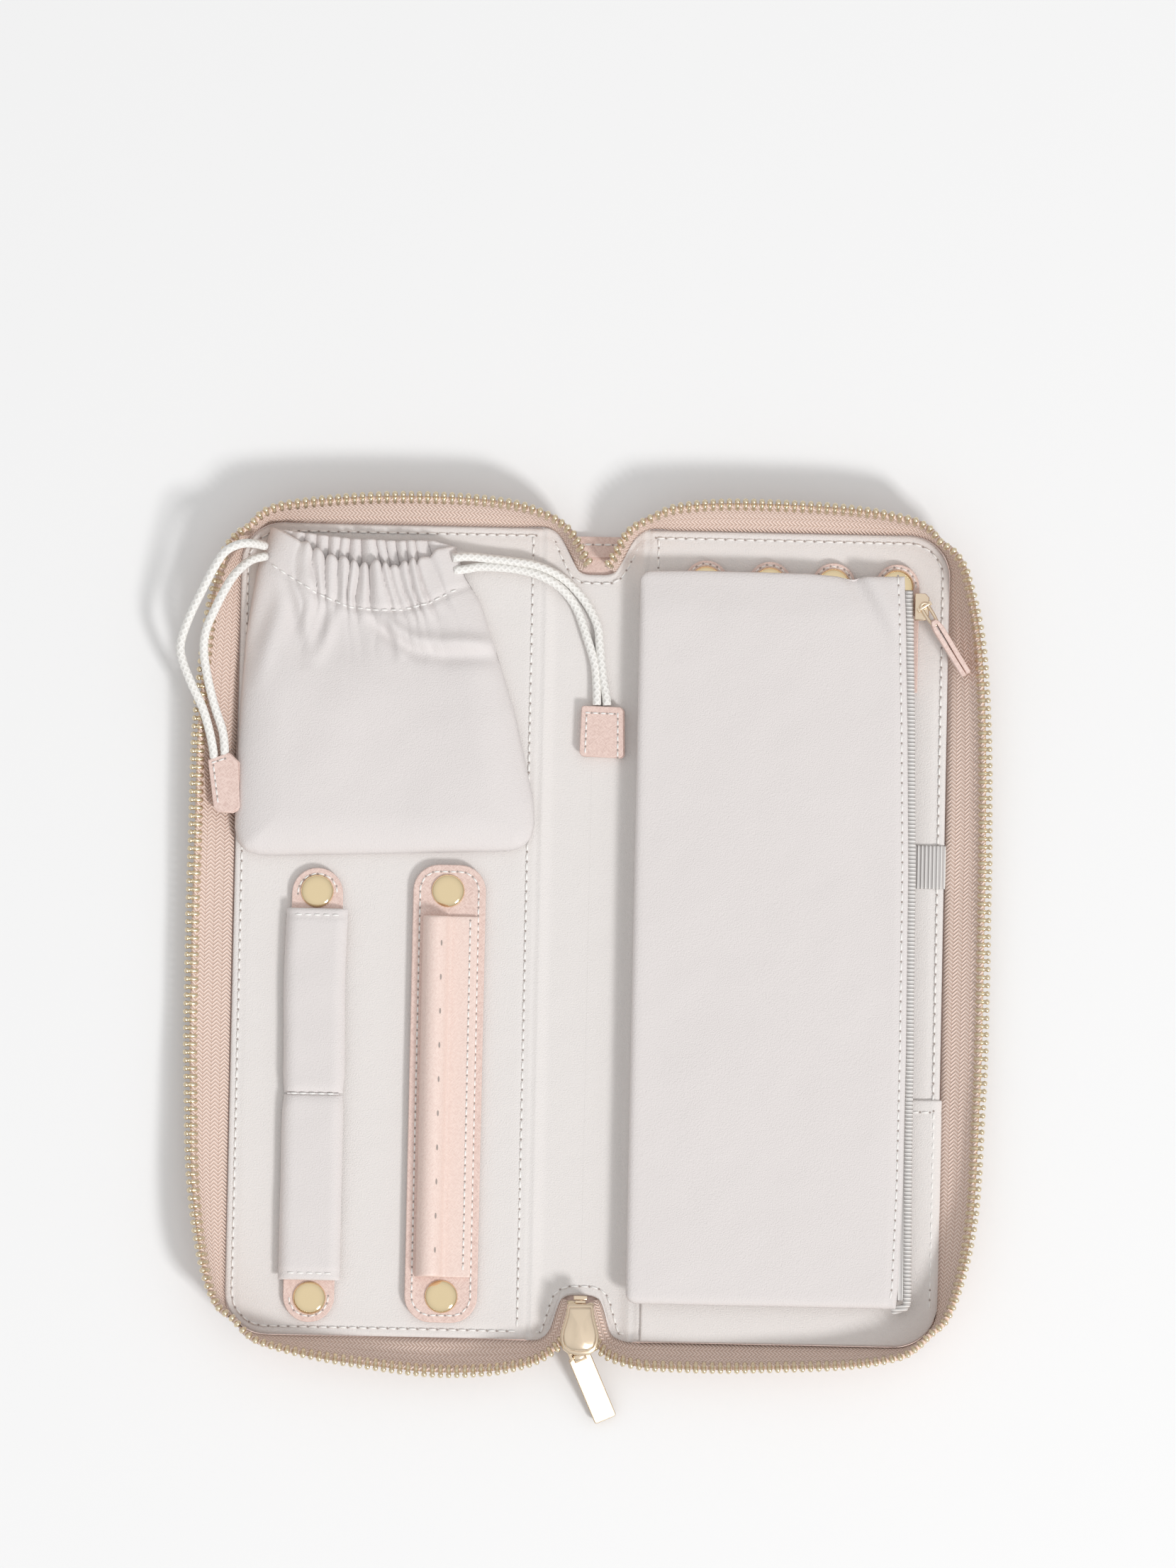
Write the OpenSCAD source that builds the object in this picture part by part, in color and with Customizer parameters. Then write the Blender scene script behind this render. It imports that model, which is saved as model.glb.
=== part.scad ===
// Travel jewelry case that opens flat like a book: two zipped trays on a soft spine.
// Origin: middle of the spine, on the plane that the open case lies on.
// +X to the right-hand tray, +Y to the top end of the spine, +Z up. Millimetres.

/* [Case] */
// Width of each tray, from its fold to its outer edge
half_w = 85.5; // [71:0.5:103]
// Length of the case along the spine
case_len = 230; // [191:1:276]
// Width of the spine between its two folds
spine_w = 30; // [29:0.5:36]
// Radius of the outer corners
corner_r = 12; // [8:0.5:16]
// Thickness of the outer cover
cover_t = 0.9; // [0.6:0.1:1.3]
// Thickness of the padding foam
foam_t = 0.8; // [0.4:0.1:1.5]
// Thickness of the stiffener board
board_t = 1.0; // [0.6:0.1:1.5]
// Thickness of the lining
lining_t = 0.7; // [0.4:0.1:1]
// How far board and foam stay inside the outline
board_in = 5; // [4:0.5:8]

/* [Main zip] */
// Free width of the zip tape, from the seam to its edge
tape_w = 11.4; // [9:0.1:12]
// Thickness of the zip tape
tape_t = 1.0; // [0.6:0.1:1.4]
// Distance from one tooth to the next
tooth_pitch = 2.3; // [2:0.1:3]
// How far a tooth stands out of the tape edge
tooth_out = 2.0; // [1.4:0.1:2.4]
// Length of the slider
slider_len = 12.9; // [11:0.1:15]
// Width of the slider at its broad end
slider_w = 10.6; // [9:0.1:12]
// Length of the bar pull, from its pin
pull_len = 20.5; // [17:0.5:22]
// Width of the bar pull
pull_w = 6.5; // [5:0.1:8]
// Thickness of the bar pull
pull_t = 2.0; // [1.6:0.1:2.2]

/* [Snaps] */
// Diameter of the snap caps
cap_d = 9.3; // [8:0.1:10.5]
// Height of the snap cap domes
cap_h = 1.5; // [1:0.1:1.6]
// Thickness of one leather layer
leather_t = 1.0; // [0.8:0.1:1.1]

/* [Ring strap] */
// Width of the padded ring strap
strap_w = 17.3; // [14:0.1:19]
// Thickness of the padded ring strap
strap_t = 2.6; // [2:0.1:3.2]
// Width of the leather tabs at its ends
tab_w = 14.4; // [12:0.1:15.5]
// Distance from the strap's middle line to the outer edge of the tray
strap_edge = 24.3; // [22:0.1:26]

/* [Earring bar] */
// Width of the leather base
bar_w = 20.4; // [18:0.1:21]
// Width of the hollow roll
roll_w = 7.6; // [6.4:0.1:8]
// Height of the hollow roll
roll_h = 5.2; // [4.6:0.1:5.4]
// Distance from one earring slit to the next
slit_pitch = 9.6; // [8:0.1:12]
// Distance from the bar's middle line to the fold
bar_fold = 24.4; // [22:0.1:26]

/* [Pouch] */
// Length of the tray that the pouch and its neck take up
pouch_len = 90; // [75:1:100]
// Thickness of the pouch
pouch_t = 8.6; // [8:0.1:9]
// Width of the gathered neck
neck_w = 57; // [48:1:60]
// Diameter of the drawstrings
cord_d = 2.6; // [2:0.1:2.8]

/* [Page] */
// Distance from the page's ends to the ends of the case
page_end = 11.5; // [9:0.5:16]
// Distance from the page's zip to the outer edge of the tray
page_edge = 10; // [9.5:0.1:13]
// Thickness of the zipped page
page_t = 3.3; // [2.4:0.1:3.6]
// Height of the page above the lining
page_lift = 3.8; // [3.7:0.1:4.4]

/* [Tray fittings] */
// Width of the necklace tabs
necklace_w = 12.4; // [11:0.1:13.5]
// Distance from one necklace tab to the next
necklace_pitch = 18; // [15:0.1:19]
// Width of the elastic band
elastic_w = 12; // [8:0.5:16]
// Height of the chain pocket
pocket_h = 70; // [50:1:80]

/* [Hidden] */

blush = "#dcc1b7";
blush_dark = "#c9a999";
velvet = "#dcd7d4";
velvet_light = "#e1dcda";
gold = "#e0d2ab";
cord_white = "#eae8e2";
silver_grey = "#cfcdcb";
board_grey = "#8f8b88";

gap = 0.3;                       // running clearance between pieces that move apart
fold_gap = 0.5;                  // from a fold's axis to the pieces on each side of it
x_fold = spine_w / 2;
x_edge = x_fold + half_w;
y_end = case_len / 2;
foam_z = cover_t;
board_z = foam_z + foam_t;
lining_z = board_z + board_t;
tray_z = lining_z + lining_t;    // top of the lining in both trays
spine_z = 2.2;                   // top of the spine lining, lower than the folds
lining_in = 0.5;                 // lining inside the outline, clear of the zip tape
fold_z = 2.4;                    // height of both folds' axes

// ---- outlines ----
function arc(c, r, a0, a1, n = 10) = [for (i = [0:n])
    let (a = a0 + (a1 - a0) * i / n) c + r * [cos(a), sin(a)]];

// one tray's outline, square at the fold and round at the outer corners
function tray_outline(inset = 0, fold_inset = fold_gap, r = corner_r) =
    let (x0 = x_fold + fold_inset, x1 = x_edge - inset, y1 = y_end - inset, q = max(r - inset, 1))
    concat([[x0, -y1]], arc([x1 - q, q - y1], q, -90, 0), arc([x1 - q, y1 - q], q, 0, 90), [[x0, y1]]);

// a strip with round ends, centred on x, from y0 to y1
function strip_outline(x, w, y0, y1, r) = concat(
    arc([x + w / 2 - r, y1 - r], r, 0, 90, 6), arc([x - w / 2 + r, y1 - r], r, 90, 180, 6),
    arc([x - w / 2 + r, y0 + r], r, 180, 270, 6), arc([x + w / 2 - r, y0 + r], r, 270, 360, 6));

module plate(points, z, t) {
    translate([0, 0, z]) linear_extrude(t) polygon(points);
}

module mirrored() {
    mirror([1, 0, 0]) children();
}

// ---- notch at each end of the spine, where the zip begins and ends ----
notch_floor = 4.8;               // half the notch's width at its floor
notch_depth = 12.8;
function bezier(a, b, c, d, t) = pow(1 - t, 3) * a + 3 * pow(1 - t, 2) * t * b
    + 3 * (1 - t) * t * t * c + pow(t, 3) * d;
notch_a = [x_fold - 0.5, y_end];
notch_b = [x_fold - 6.5, y_end];
notch_c = [notch_floor + 2.8, y_end - 7];
notch_d = [notch_floor, y_end - notch_depth];
function notch_at(t) = bezier(notch_a, notch_b, notch_c, notch_d, t);
function notch_side(n = 10) = [for (i = [0:n]) notch_at(i / n)];
function flipped(points) = [for (i = [len(points) - 1:-1:0]) [-points[i].x, points[i].y]];
function notch_line() = concat(notch_side(), flipped(notch_side()));
function turned(points) = [for (p = points) -p];

// ---- zip tape: a wall along a tray's outline that leans out between the corners ----
straight = half_w - corner_r - fold_gap;
bend = PI / 2 * corner_r;
side = case_len - 2 * corner_r;
corner_1 = straight + bend / 2;
corner_2 = straight + bend + side + bend / 2;
path_len = 2 * straight + 2 * bend + side;
ease = 22;                       // distance over which the wall goes from upright to leaning
side_lean = 0.93;                // sine of the lean at the middle of each edge
top_lean = 0.62;
bottom_lean = 0.75;
corner_lean = -0.05;
top_open = 11;
bottom_open = 20;
tape_out = 0.7;                  // the wall's middle line starts this far outside the outline
tape_z = (cover_t + lining_z) / 2;
flex = 12;                       // tape this close to a fold bends with it

function far(u) = 1 - exp(-pow(u / ease, 2));
function lean_at(s) =
    s < corner_1 ? corner_lean * (1 - far(corner_1 - s)) + top_lean * far(corner_1 - s) * far(s + top_open)
    : s < corner_2 ? corner_lean * (2 - far(s - corner_1) - far(corner_2 - s))
        + side_lean * far(s - corner_1) * far(corner_2 - s)
    : corner_lean * (1 - far(s - corner_2))
        + bottom_lean * far(s - corner_2) * far(path_len - s + bottom_open);

// point and outward normal at arc length s along the right tray, from the top fold round to the bottom one
function edge_at(s) =
    let (cx = x_edge - corner_r, cy = y_end - corner_r, k = 180 / PI / corner_r)
    s < straight ? [[x_fold + fold_gap + s, y_end], [0, 1]]
    : s < straight + bend ? let (a = 90 - (s - straight) * k)
        [[cx, cy] + corner_r * [cos(a), sin(a)], [cos(a), sin(a)]]
    : s < straight + bend + side ? [[x_edge, cy - (s - straight - bend)], [1, 0]]
    : s < straight + 2 * bend + side ? let (a = -(s - straight - bend - side) * k)
        [[cx, -cy] + corner_r * [cos(a), sin(a)], [cos(a), sin(a)]]
    : [[cx - (s - straight - 2 * bend - side), -y_end], [0, -1]];

function steps(a, b, n) = [for (i = [0:n - 1]) a + (b - a) * i / n];
tape_stations = concat(steps(flex, straight, 8), steps(straight, straight + bend, 7),
    steps(straight + bend, straight + bend + side, 22),
    steps(straight + bend + side, straight + 2 * bend + side, 7),
    steps(straight + 2 * bend + side, path_len - flex, 8), [path_len - flex]);

// wall section as [outward, up] pairs: seam allowance, outer face, edge, inner face
function wall_section(lean) =
    let (up = sqrt(1 - lean * lean), out = [up, -lean] * tape_t / 2, run = [lean, up],
        foot = [tape_out, tape_z],
        middle = foot + run * tape_w * 0.45 + [up, -lean] * 0.4, edge = foot + run * tape_w)
    [[-board_in + gap, cover_t], [tape_out, cover_t], middle + out, edge + out, edge - out, middle - out,
        [0.1, lining_z], [-board_in + gap, lining_z]];

function ring_at(place, section) = [for (p = section)
    [place[0].x + place[1].x * p[0], place[0].y + place[1].y * p[0], p[1]]];

module sweep(rings) {
    n = len(rings[0]);
    m = len(rings);
    polyhedron(
        points = [for (r = rings) each r],
        faces = concat(
            [[for (i = [0:n - 1]) i]],
            [for (j = [0:m - 2], i = [0:n - 1])
                [j * n + i, (j + 1) * n + i, (j + 1) * n + (i + 1) % n, j * n + (i + 1) % n]],
            [[for (i = [n - 1:-1:0]) (m - 1) * n + i]]));
}

module tray_tape() {
    sweep([for (s = tape_stations) ring_at(edge_at(s), wall_section(lean_at(s)))]);
}

// one tooth: across is its outward direction in the wall, along is the row's direction
module tooth(place, tangent, across) {
    face = cross(tangent, across);
    multmatrix([[tangent.x, across.x, face.x, place.x], [tangent.y, across.y, face.y, place.y],
            [tangent.z, across.z, face.z, place.z], [0, 0, 0, 1]])
        translate([-0.6, -2.1, -0.85]) cube([1.2, 2.1 + tooth_out, 1.7]);
}

module tray_teeth() {
    count = floor((path_len - 2 * flex) / tooth_pitch);
    for (i = [0:count - 1]) {
        s = flex + (i + 0.5) * tooth_pitch;
        lean = lean_at(s);
        up = sqrt(1 - lean * lean);
        at = edge_at(s);
        n = at[1];
        out = tape_out + lean * tape_w;
        tooth([at[0].x + n.x * out, at[0].y + n.y * out, tape_z + up * tape_w], [n.y, -n.x, 0],
            [n.x * lean, n.y * lean, up]);
    }
}

// tape along a notch: the wall rises from the notch's edge and bends over towards the middle
notch_start = 0.42;
function notch_normal(t) = let (d = notch_at(t + 0.01) - notch_at(t - 0.01)) [d.y, -d.x] / norm(d);
function notch_section(lean, rise, reach) =
    let (knee = [tape_out, tape_z + rise], edge = knee + reach * [sin(lean), cos(lean)],
        out = [cos(lean), -sin(lean)] * tape_t / 2)
    [[-3.5, cover_t], [tape_out, cover_t], knee + [tape_t / 2, 0], edge + out, edge - out,
        knee - [tape_t / 2, 0], [0.1, spine_z - lining_t], [-3.5, spine_z - lining_t]];

top_rise = 5.5;                  // height of the upright part of the tape at the top notch
top_reach = 4.9;
low_rise = 5;                    // and at the bottom notch, beside the slider
low_reach = 2.2;
function top_bend(t) = 10 + 65 * (t - notch_start) / (1 - notch_start);

module notch_tape_top() {
    sweep([for (i = [6:-1:0]) let (t = notch_start + (1 - notch_start) * i / 6)
        ring_at([notch_at(t), notch_normal(t)], notch_section(top_bend(t), top_rise, top_reach))]);
}

module notch_tape_low() {
    mirror([0, 1, 0]) sweep([for (i = [6:-1:0]) let (t = notch_start + (1 - notch_start) * i / 6)
        ring_at([notch_at(t), notch_normal(t)], notch_section(12, low_rise, low_reach))]);
}

// the bit of tape across a fold, from the notch to the tray
function mixed(a, b, k) = [for (i = [0:len(a) - 1]) a[i] * (1 - k) + b[i] * k];
fold_steps = 8;
function fold_place(k) = k < 0.35 ? let (t = notch_start * (1 - k / 0.35))
        [notch_at(t), notch_normal(max(t, 0.011))]
    : edge_at((k - 0.35) / 0.65 * (flex - gap));
function wall_only(section) = [for (p = section) [p[0] < -1 ? 0.35 : max(p[0], 0.5), p[1]]];
function fold_rings(notch_part, tray_part) =
    [for (i = [0:fold_steps]) let (k = i / fold_steps * 0.98 + 0.02)
    ring_at(fold_place(k), wall_only(mixed(notch_part, tray_part, k)))];

module fold_tape_top() {
    notch = notch_section(top_bend(notch_start), top_rise, top_reach);
    sweep(fold_rings(notch, wall_section(lean_at(flex))));
}

module fold_tape_low() {
    mirror([0, 1, 0]) sweep(fold_rings(notch_section(12, low_rise, low_reach),
        wall_section(lean_at(path_len - flex))));
}

// ---- spine ----
module spine_cover() {
    edge = y_end - 2.5;
    color(blush) plate([[-x_fold + fold_gap, -edge], [x_fold - fold_gap, -edge], [x_fold - fold_gap, edge],
        [-x_fold + fold_gap, edge]], 0, cover_t);
}

module spine_felt() {
    inside = 3.8;
    x = x_fold - inside - 3.5;
    y = y_end - notch_depth - inside;
    color(board_grey) plate([[-x, -y], [x, -y], [x, y], [-x, y]], cover_t, spine_z - lining_t - cover_t);
}

module spine_lining() {
    x = x_fold - fold_gap;
    line = notch_line();
    color(velvet) plate(concat([[x, y_end]], [for (p = line) [min(max(p.x, -x), x), p.y]],
        [[-x, y_end], [-x, -y_end]],
        [for (p = turned(line)) [min(max(p.x, -x), x), p.y]], [[x, -y_end]]), spine_z - lining_t, lining_t);
}

hem_w = 5.8;                     // the cover's turned edge, seen through each notch
module spine_hems() {
    x = 6.4;
    color(blush) for (k = [-1, 1])
        plate([[-x, k * (y_end - 2.5)], [x, k * (y_end - 2.5)], [x - 1.6, k * (y_end - 2.5 - hem_w)],
            [1.6 - x, k * (y_end - 2.5 - hem_w)]], cover_t, 0.5);
}

module spine_tape_right() {
    color(blush_dark) {
        notch_tape_top();
        notch_tape_low();
    }
}

module spine_tape_left() {
    color(blush_dark) mirrored() {
        notch_tape_top();
        notch_tape_low();
    }
}

module notch_teeth() {
    for (i = [0:5]) {
        t = notch_start + (0.95 - notch_start) * (i + 0.5) / 6;
        n = notch_normal(t);
        lean = top_bend(t);
        place = notch_at(t) + n * (tape_out + top_reach * sin(lean));
        tooth([place.x, place.y, tape_z + top_rise + top_reach * cos(lean)], [n.y, -n.x, 0],
            [n.x * sin(lean), n.y * sin(lean), cos(lean)]);
    }
}

module spine_teeth() {
    color(gold) {
        notch_teeth();
        mirrored() notch_teeth();
    }
}

// ---- main slider at the bottom notch ----
chain_z = 9.2;                   // middle of the closed row of teeth
slider_y = -(y_end - 10.6);      // the slider's upper end
slider_plate = 1.1;
slider_room = 2.6;               // between the slider's two plates
function slider_half(y) =
    let (k = y / slider_len) slider_w / 2 * (0.70 + 0.30 * sin(min(k / 0.72, 1) * 90));
function slider_outline(shrink = 0) =
    let (n = 12, tail = 0.72 * slider_len, r = slider_w / 2 - shrink,
        right = [for (i = [0:n]) let (y = tail * i / n) [slider_half(y) - shrink, slider_y - y]],
        round_end = [for (i = [1:9]) let (a = i * 18)
            [r * cos(a), slider_y - tail - (slider_len - tail - shrink) * sin(a)]])
    concat(right, round_end, flipped(right));

pin_y = slider_y - slider_len - 1.8;
pin_z = 9.2;
pull_yaw = 24;                   // the pull lies to the right of the spine's line
pull_drop = 21;                  // and slopes down to the surface

module main_slider() {
    low = chain_z - slider_room / 2 - slider_plate;
    high = chain_z + slider_room / 2;
    shield = high + slider_plate;
    color(gold) {
        plate(slider_outline(0.6), low, slider_plate);
        plate(slider_outline(), high, slider_plate);
        plate(slider_outline(0.9), shield, 0.9);
        translate([0, slider_y - slider_len * 0.62, low]) cylinder(d = 3.2, h = shield - low, $fn = 48);
        hull() {
            translate([-0.3, slider_y - slider_len + 2.2, shield + 0.8]) cube([0.6, slider_len - 3.2, 1.2]);
            translate([-2.6, slider_y - slider_len + 2.2, shield + 0.8]) cube([5.2, slider_len - 3.2, 0.2]);
        }
        translate([0, pin_y, pin_z]) rotate([0, 90, pull_yaw])
            cylinder(d = 1.2, h = 5, center = true, $fn = 32);
        for (k = [-1, 1]) translate([0, pin_y, high - 3.2]) rotate([0, 0, pull_yaw])
            translate([k * 2.3 - 0.4, -0.7, 0]) cube([0.8, 4.4, 3.2]);
    }
}

module main_pull() {
    eye = 1.5;
    color(gold) translate([0, pin_y, pin_z])
        rotate([0, 0, pull_yaw]) rotate([pull_drop, 0, 0]) difference() {
        union() {
            rotate([0, 90, 0]) cylinder(r = eye, h = 3.2, center = true, $fn = 48);
            translate([-1.6, -3.6, -pull_t / 2]) cube([3.2, 3.6, pull_t]);
            translate([-pull_w / 2, -pull_len, -pull_t / 2]) cube([pull_w, pull_len - 2.6, pull_t]);
        }
        rotate([0, 90, 0]) cylinder(d = 1.5, h = 4, center = true, $fn = 48);
    }
}

module zip_box() {
    color(gold) {
        translate([-1.9, -(y_end - notch_depth) - 0.4, chain_z - 0.9]) cube([3.8, 1.3, 1.8]);
        translate([-1.4, slider_y + 0.2, chain_z - 0.8]) cube([2.8, 0.9, 1.6]);
    }
}

// ---- trays: cover, foam, board, lining ----
module tray_cover() {
    plate(tray_outline(), 0, cover_t);
}

module tray_foam() {
    plate(tray_outline(board_in, board_in), foam_z, foam_t);
}

module tray_board() {
    plate(tray_outline(board_in, board_in), board_z, board_t);
}

module tray_lining() {
    plate(tray_outline(lining_in), lining_z, lining_t);
}

module left_cover() {
    color(blush) mirrored() tray_cover();
}

module left_foam() {
    color("white") mirrored() tray_foam();
}

module left_board() {
    color(board_grey) mirrored() tray_board();
}

module left_lining() {
    color(velvet) mirrored() tray_lining();
}

module left_tape() {
    color(blush_dark) mirrored() tray_tape();
}

module left_teeth() {
    color(gold) mirrored() tray_teeth();
}

module left_tape_folds() {
    color(blush_dark) mirrored() {
        fold_tape_top();
        fold_tape_low();
    }
}

module right_cover() {
    color(blush) tray_cover();
}

module right_foam() {
    color("white") tray_foam();
}

module right_board() {
    color(board_grey) tray_board();
}

module right_lining() {
    color(velvet) tray_lining();
}

module right_tape() {
    color(blush_dark) tray_tape();
}

module right_teeth() {
    color(gold) tray_teeth();
}

module right_tape_folds() {
    color(blush_dark) {
        fold_tape_top();
        fold_tape_low();
    }
}

// ---- snaps: a stud on the lining, a socket and a domed cap on the leather ----
stud_base = 0.3;
stud_r = 1.6;
stud_play = 0.15;
tab_z = tray_z + 0.9;            // underside of a snapped leather tab
module stud(x, y) {
    translate([x, y, tray_z]) cylinder(r = 3.9, h = stud_base, $fn = 48);
    translate([x, y, tray_z]) cylinder(r = stud_r, h = 1.5, $fn = 48);
}

// cap on leather whose top is at z, with its socket below the leather's underside
module cap(x, y, z) {
    dome_r = (pow(cap_d / 2, 2) + pow(cap_h - 0.4, 2)) / 2 / (cap_h - 0.4);
    translate([x, y, z]) rotate_extrude($fn = 64) polygon(concat([[0, 0], [cap_d / 2, 0], [cap_d / 2, 0.4]],
        [for (i = [1:8]) let (r = cap_d / 2 * (1 - i / 8))
            [r, cap_h - dome_r + sqrt(dome_r * dome_r - r * r)]]));
    translate([x, y, tray_z + stud_base + 0.2]) difference() {
        cylinder(r = 2.9, h = z - tray_z - stud_base - 0.2, $fn = 48);
        translate([0, 0, -1]) cylinder(r = stud_r + stud_play, h = 2.2, $fn = 48);
    }
}

module socket_hole(x, y, z) {
    translate([x, y, z - 5]) cylinder(r = 2.9, h = 10, $fn = 48);
}

// ---- ring strap: padded, sewn down in the middle, one snapped tab at each end ----
end_gap = 4.0;                   // from the ends of both bars to the case's end
bar_low = -y_end + end_gap;
bar_high = y_end - pouch_len - 8;
strap_x = -(x_edge - strap_edge);
bar_x = -(x_fold + bar_fold);
snap_in = 6.8;                   // from a tab's round end to its snap
strap_in = 11.7;                 // from a tab's round end to the padded strap
tab_len = 27;
middle_y = (bar_low + bar_high) / 2;
strap_z = tab_z + leather_t + 0.05;
anchor_w = 2.0;

module ring_anchor() {
    color(velvet_light) translate([strap_x - strap_w / 2 + 1, middle_y - anchor_w / 2, tray_z])
        cube([strap_w - 2, anchor_w, strap_z + 0.8 - tray_z]);
}

module strap_half(k) {
    reach = (bar_high - bar_low) / 2 - strap_in;
    from = anchor_w / 2 + gap;
    y0 = k > 0 ? middle_y + from : middle_y - reach;
    y1 = k > 0 ? middle_y + reach : middle_y - from;
    color(velvet_light) plate(strip_outline(strap_x, strap_w, y0, y1, 1.2), strap_z, strap_t);
}

function snap_y(k) = k > 0 ? bar_high - snap_in : bar_low + snap_in;

module strap_tab(k) {
    y0 = k > 0 ? bar_high - tab_len : bar_low;
    y1 = k > 0 ? bar_high : bar_low + tab_len;
    end = tab_w / 2;
    square_end = 1;
    outline = concat(
        arc([strap_x, k > 0 ? y1 - end : y0 + end], end, k > 0 ? 0 : 180, k > 0 ? 180 : 360, 16),
        k > 0 ? [[strap_x - end, y0 + square_end], [strap_x - end + square_end, y0],
            [strap_x + end - square_end, y0],
            [strap_x + end, y0 + square_end]]
        : [[strap_x + end, y1 - square_end], [strap_x + end - square_end, y1],
            [strap_x - end + square_end, y1],
            [strap_x - end, y1 - square_end]]);
    color(blush) difference() {
        plate(outline, tab_z, leather_t);
        socket_hole(strap_x, snap_y(k), tab_z);
    }
}

module ring_strap_upper() {
    strap_half(1);
}

module ring_strap_lower() {
    strap_half(-1);
}

module ring_tab_upper() {
    strap_tab(1);
}

module ring_tab_lower() {
    strap_tab(-1);
}

module ring_cap_upper() {
    color(gold) cap(strap_x, snap_y(1), tab_z + leather_t);
}

module ring_cap_lower() {
    color(gold) cap(strap_x, snap_y(-1), tab_z + leather_t);
}

// ---- earring bar: a stitched leather base with a hollow roll along it ----
bar_over = 1.6;                  // the earring bar is this much longer than the strap at the top
base_t = 1.6;
base_z = tab_z;
roll_z = base_z + base_t;
roll_wall = 1.1;
roll_in = 14.5;                  // from the base's ends to the roll
slit_len = 1.6;
slit_w = 0.5;
function bar_snap(k) = k > 0 ? bar_high + bar_over - 7.3 : bar_low + 7.3;

module earring_base() {
    color(blush) difference() {
        plate(strip_outline(bar_x, bar_w, bar_low, bar_high + bar_over, 6.5), base_z, base_t);
        for (k = [-1, 1]) socket_hole(bar_x, bar_snap(k), base_z);
    }
}

// the roll's section: a rounded loop on the left, a flat doubled flange on the right
function roll_section(inset) =
    let (r = roll_h / 2 - inset, cx = -roll_w + roll_h / 2, top = roll_h - inset, low = inset)
    concat(arc([cx, roll_h / 2], r, 90, 270, 12), [[-1.4, low], [0.4 - inset, max(low, roll_wall)]],
        [[-1.2, top]]);

module earring_roll() {
    y0 = bar_low + roll_in - 2;
    y1 = bar_high + bar_over - roll_in;
    count = floor((y1 - y0 - 8) / slit_pitch);
    first = (y0 + y1) / 2 - (count - 1) / 2 * slit_pitch;
    color(blush) difference() {
        union() {
            translate([bar_x, y1, roll_z]) rotate([90, 0, 0])
                linear_extrude(y1 - y0) polygon(roll_section(0));
            translate([bar_x - 1, y0, roll_z]) cube([9.2, y1 - y0, roll_wall]);
        }
        translate([bar_x, y1 + 1, roll_z]) rotate([90, 0, 0])
            linear_extrude(y1 - y0 + 2) polygon(roll_section(roll_wall));
        for (i = [0:count - 1])
            translate([bar_x - 2.2 - slit_w / 2, first + i * slit_pitch - slit_len / 2, roll_z + roll_h - 2])
            cube([slit_w, slit_len, 3]);
    }
}

module earring_caps() {
    color(gold) for (k = [-1, 1]) cap(bar_x, bar_snap(k), roll_z);
}

module left_studs() {
    color(gold) for (k = [-1, 1]) {
        stud(strap_x, snap_y(k));
        stud(bar_x, bar_snap(k));
    }
}

// ---- drawstring pouch, lying in the top of the left tray ----
pouch_z = tray_z + 0.2;
pouch_low = y_end - pouch_len - 5.5;
pouch_high = y_end - 17;
pouch_left = -(x_edge - 0.2);
pouch_right = -(x_fold + 0.8);
neck_x = pouch_left + 35.2;
neck_high = y_end - 7.5;
pouch_wall = 1.1;

// the pouch narrows towards its neck: one slab of it between two heights, inset all round
module pouch_slab(inset, z0, z1) {
    r = 7;
    q = max(r - inset, 1);
    hull() {
        for (p = [[pouch_left + r, pouch_low + r - 0.6], [pouch_right - r, pouch_low + r + 1.4],
                [neck_x + neck_w / 2 + 2 - r, pouch_high - r],
                [neck_x - neck_w / 2 - 2 + r, pouch_high - r]])
            translate([p.x, p.y, z0]) cylinder(r = q, h = z1 - z0, $fn = 24);
    }
}

module pouch_body() {
    color(velvet_light) difference() {
        hull() {
            pouch_slab(6, pouch_z, pouch_z + 0.2);
            pouch_slab(0.2, pouch_z + pouch_t * 0.46, pouch_z + pouch_t * 0.56);
            pouch_slab(6, pouch_z + pouch_t - 0.2, pouch_z + pouch_t);
        }
        pouch_slab(6.5, pouch_z + pouch_wall, pouch_z + pouch_t - pouch_wall);
        translate([neck_x - 20, pouch_high - 16, pouch_z + pouch_wall])
            cube([40, 30, pouch_t - 2 * pouch_wall]);
    }
}

module pouch_neck() {
    h = pouch_t - 0.6;
    color(velvet_light) difference() {
        translate([0, 0, pouch_z + 0.3]) linear_extrude(h)
            polygon(strip_outline(neck_x, neck_w, pouch_high + 0.1, neck_high, 2.5));
        translate([neck_x - 22, pouch_high - 1, pouch_z + 0.3 + pouch_wall])
            cube([44, 30, h - 2 * pouch_wall]);
    }
}

// ---- drawstrings: two strands on each side, each pair sewn into a leather tag ----
left_outer_route = [[-95, 106.4, 10], [-97.5, 105.9, 14.6], [-100.4, 105.3, 17.4], [-104.4, 103.4, 17.9],
    [-107.6, 99.8, 16.8], [-110.8, 94, 15.8], [-114, 88, 14.4], [-116.6, 81, 13.4], [-116.2, 75.5, 13.2],
    [-113.6, 69, 12.6], [-110.6, 62, 11.2], [-108, 55.5, 9.6], [-106.9, 50, 8.6], [-106.4, 46.8, 8]];
left_inner_route = [[-95, 103.5, 8], [-98.4, 102.4, 11.4], [-101.8, 99, 14.2], [-104.6, 94, 15.6],
    [-107.4, 88.6, 15.6],
    [-109.6, 83, 15], [-110, 77, 13.8], [-109, 71, 11.6], [-107, 63, 9.4], [-104.9, 56, 8.2],
    [-104, 50, 7.6], [-103.6, 46.6, 7.2]];
right_upper_route = [[-36.2, 105.2, 7.2], [-31, 105.6, 6], [-25.5, 105.2, 5.2], [-21, 104.6, 5]];
right_lower_route = [[-36.2, 102.2, 7.2], [-31, 102.7, 6], [-25.5, 102.5, 5.2], [-21, 102, 5]];
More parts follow.
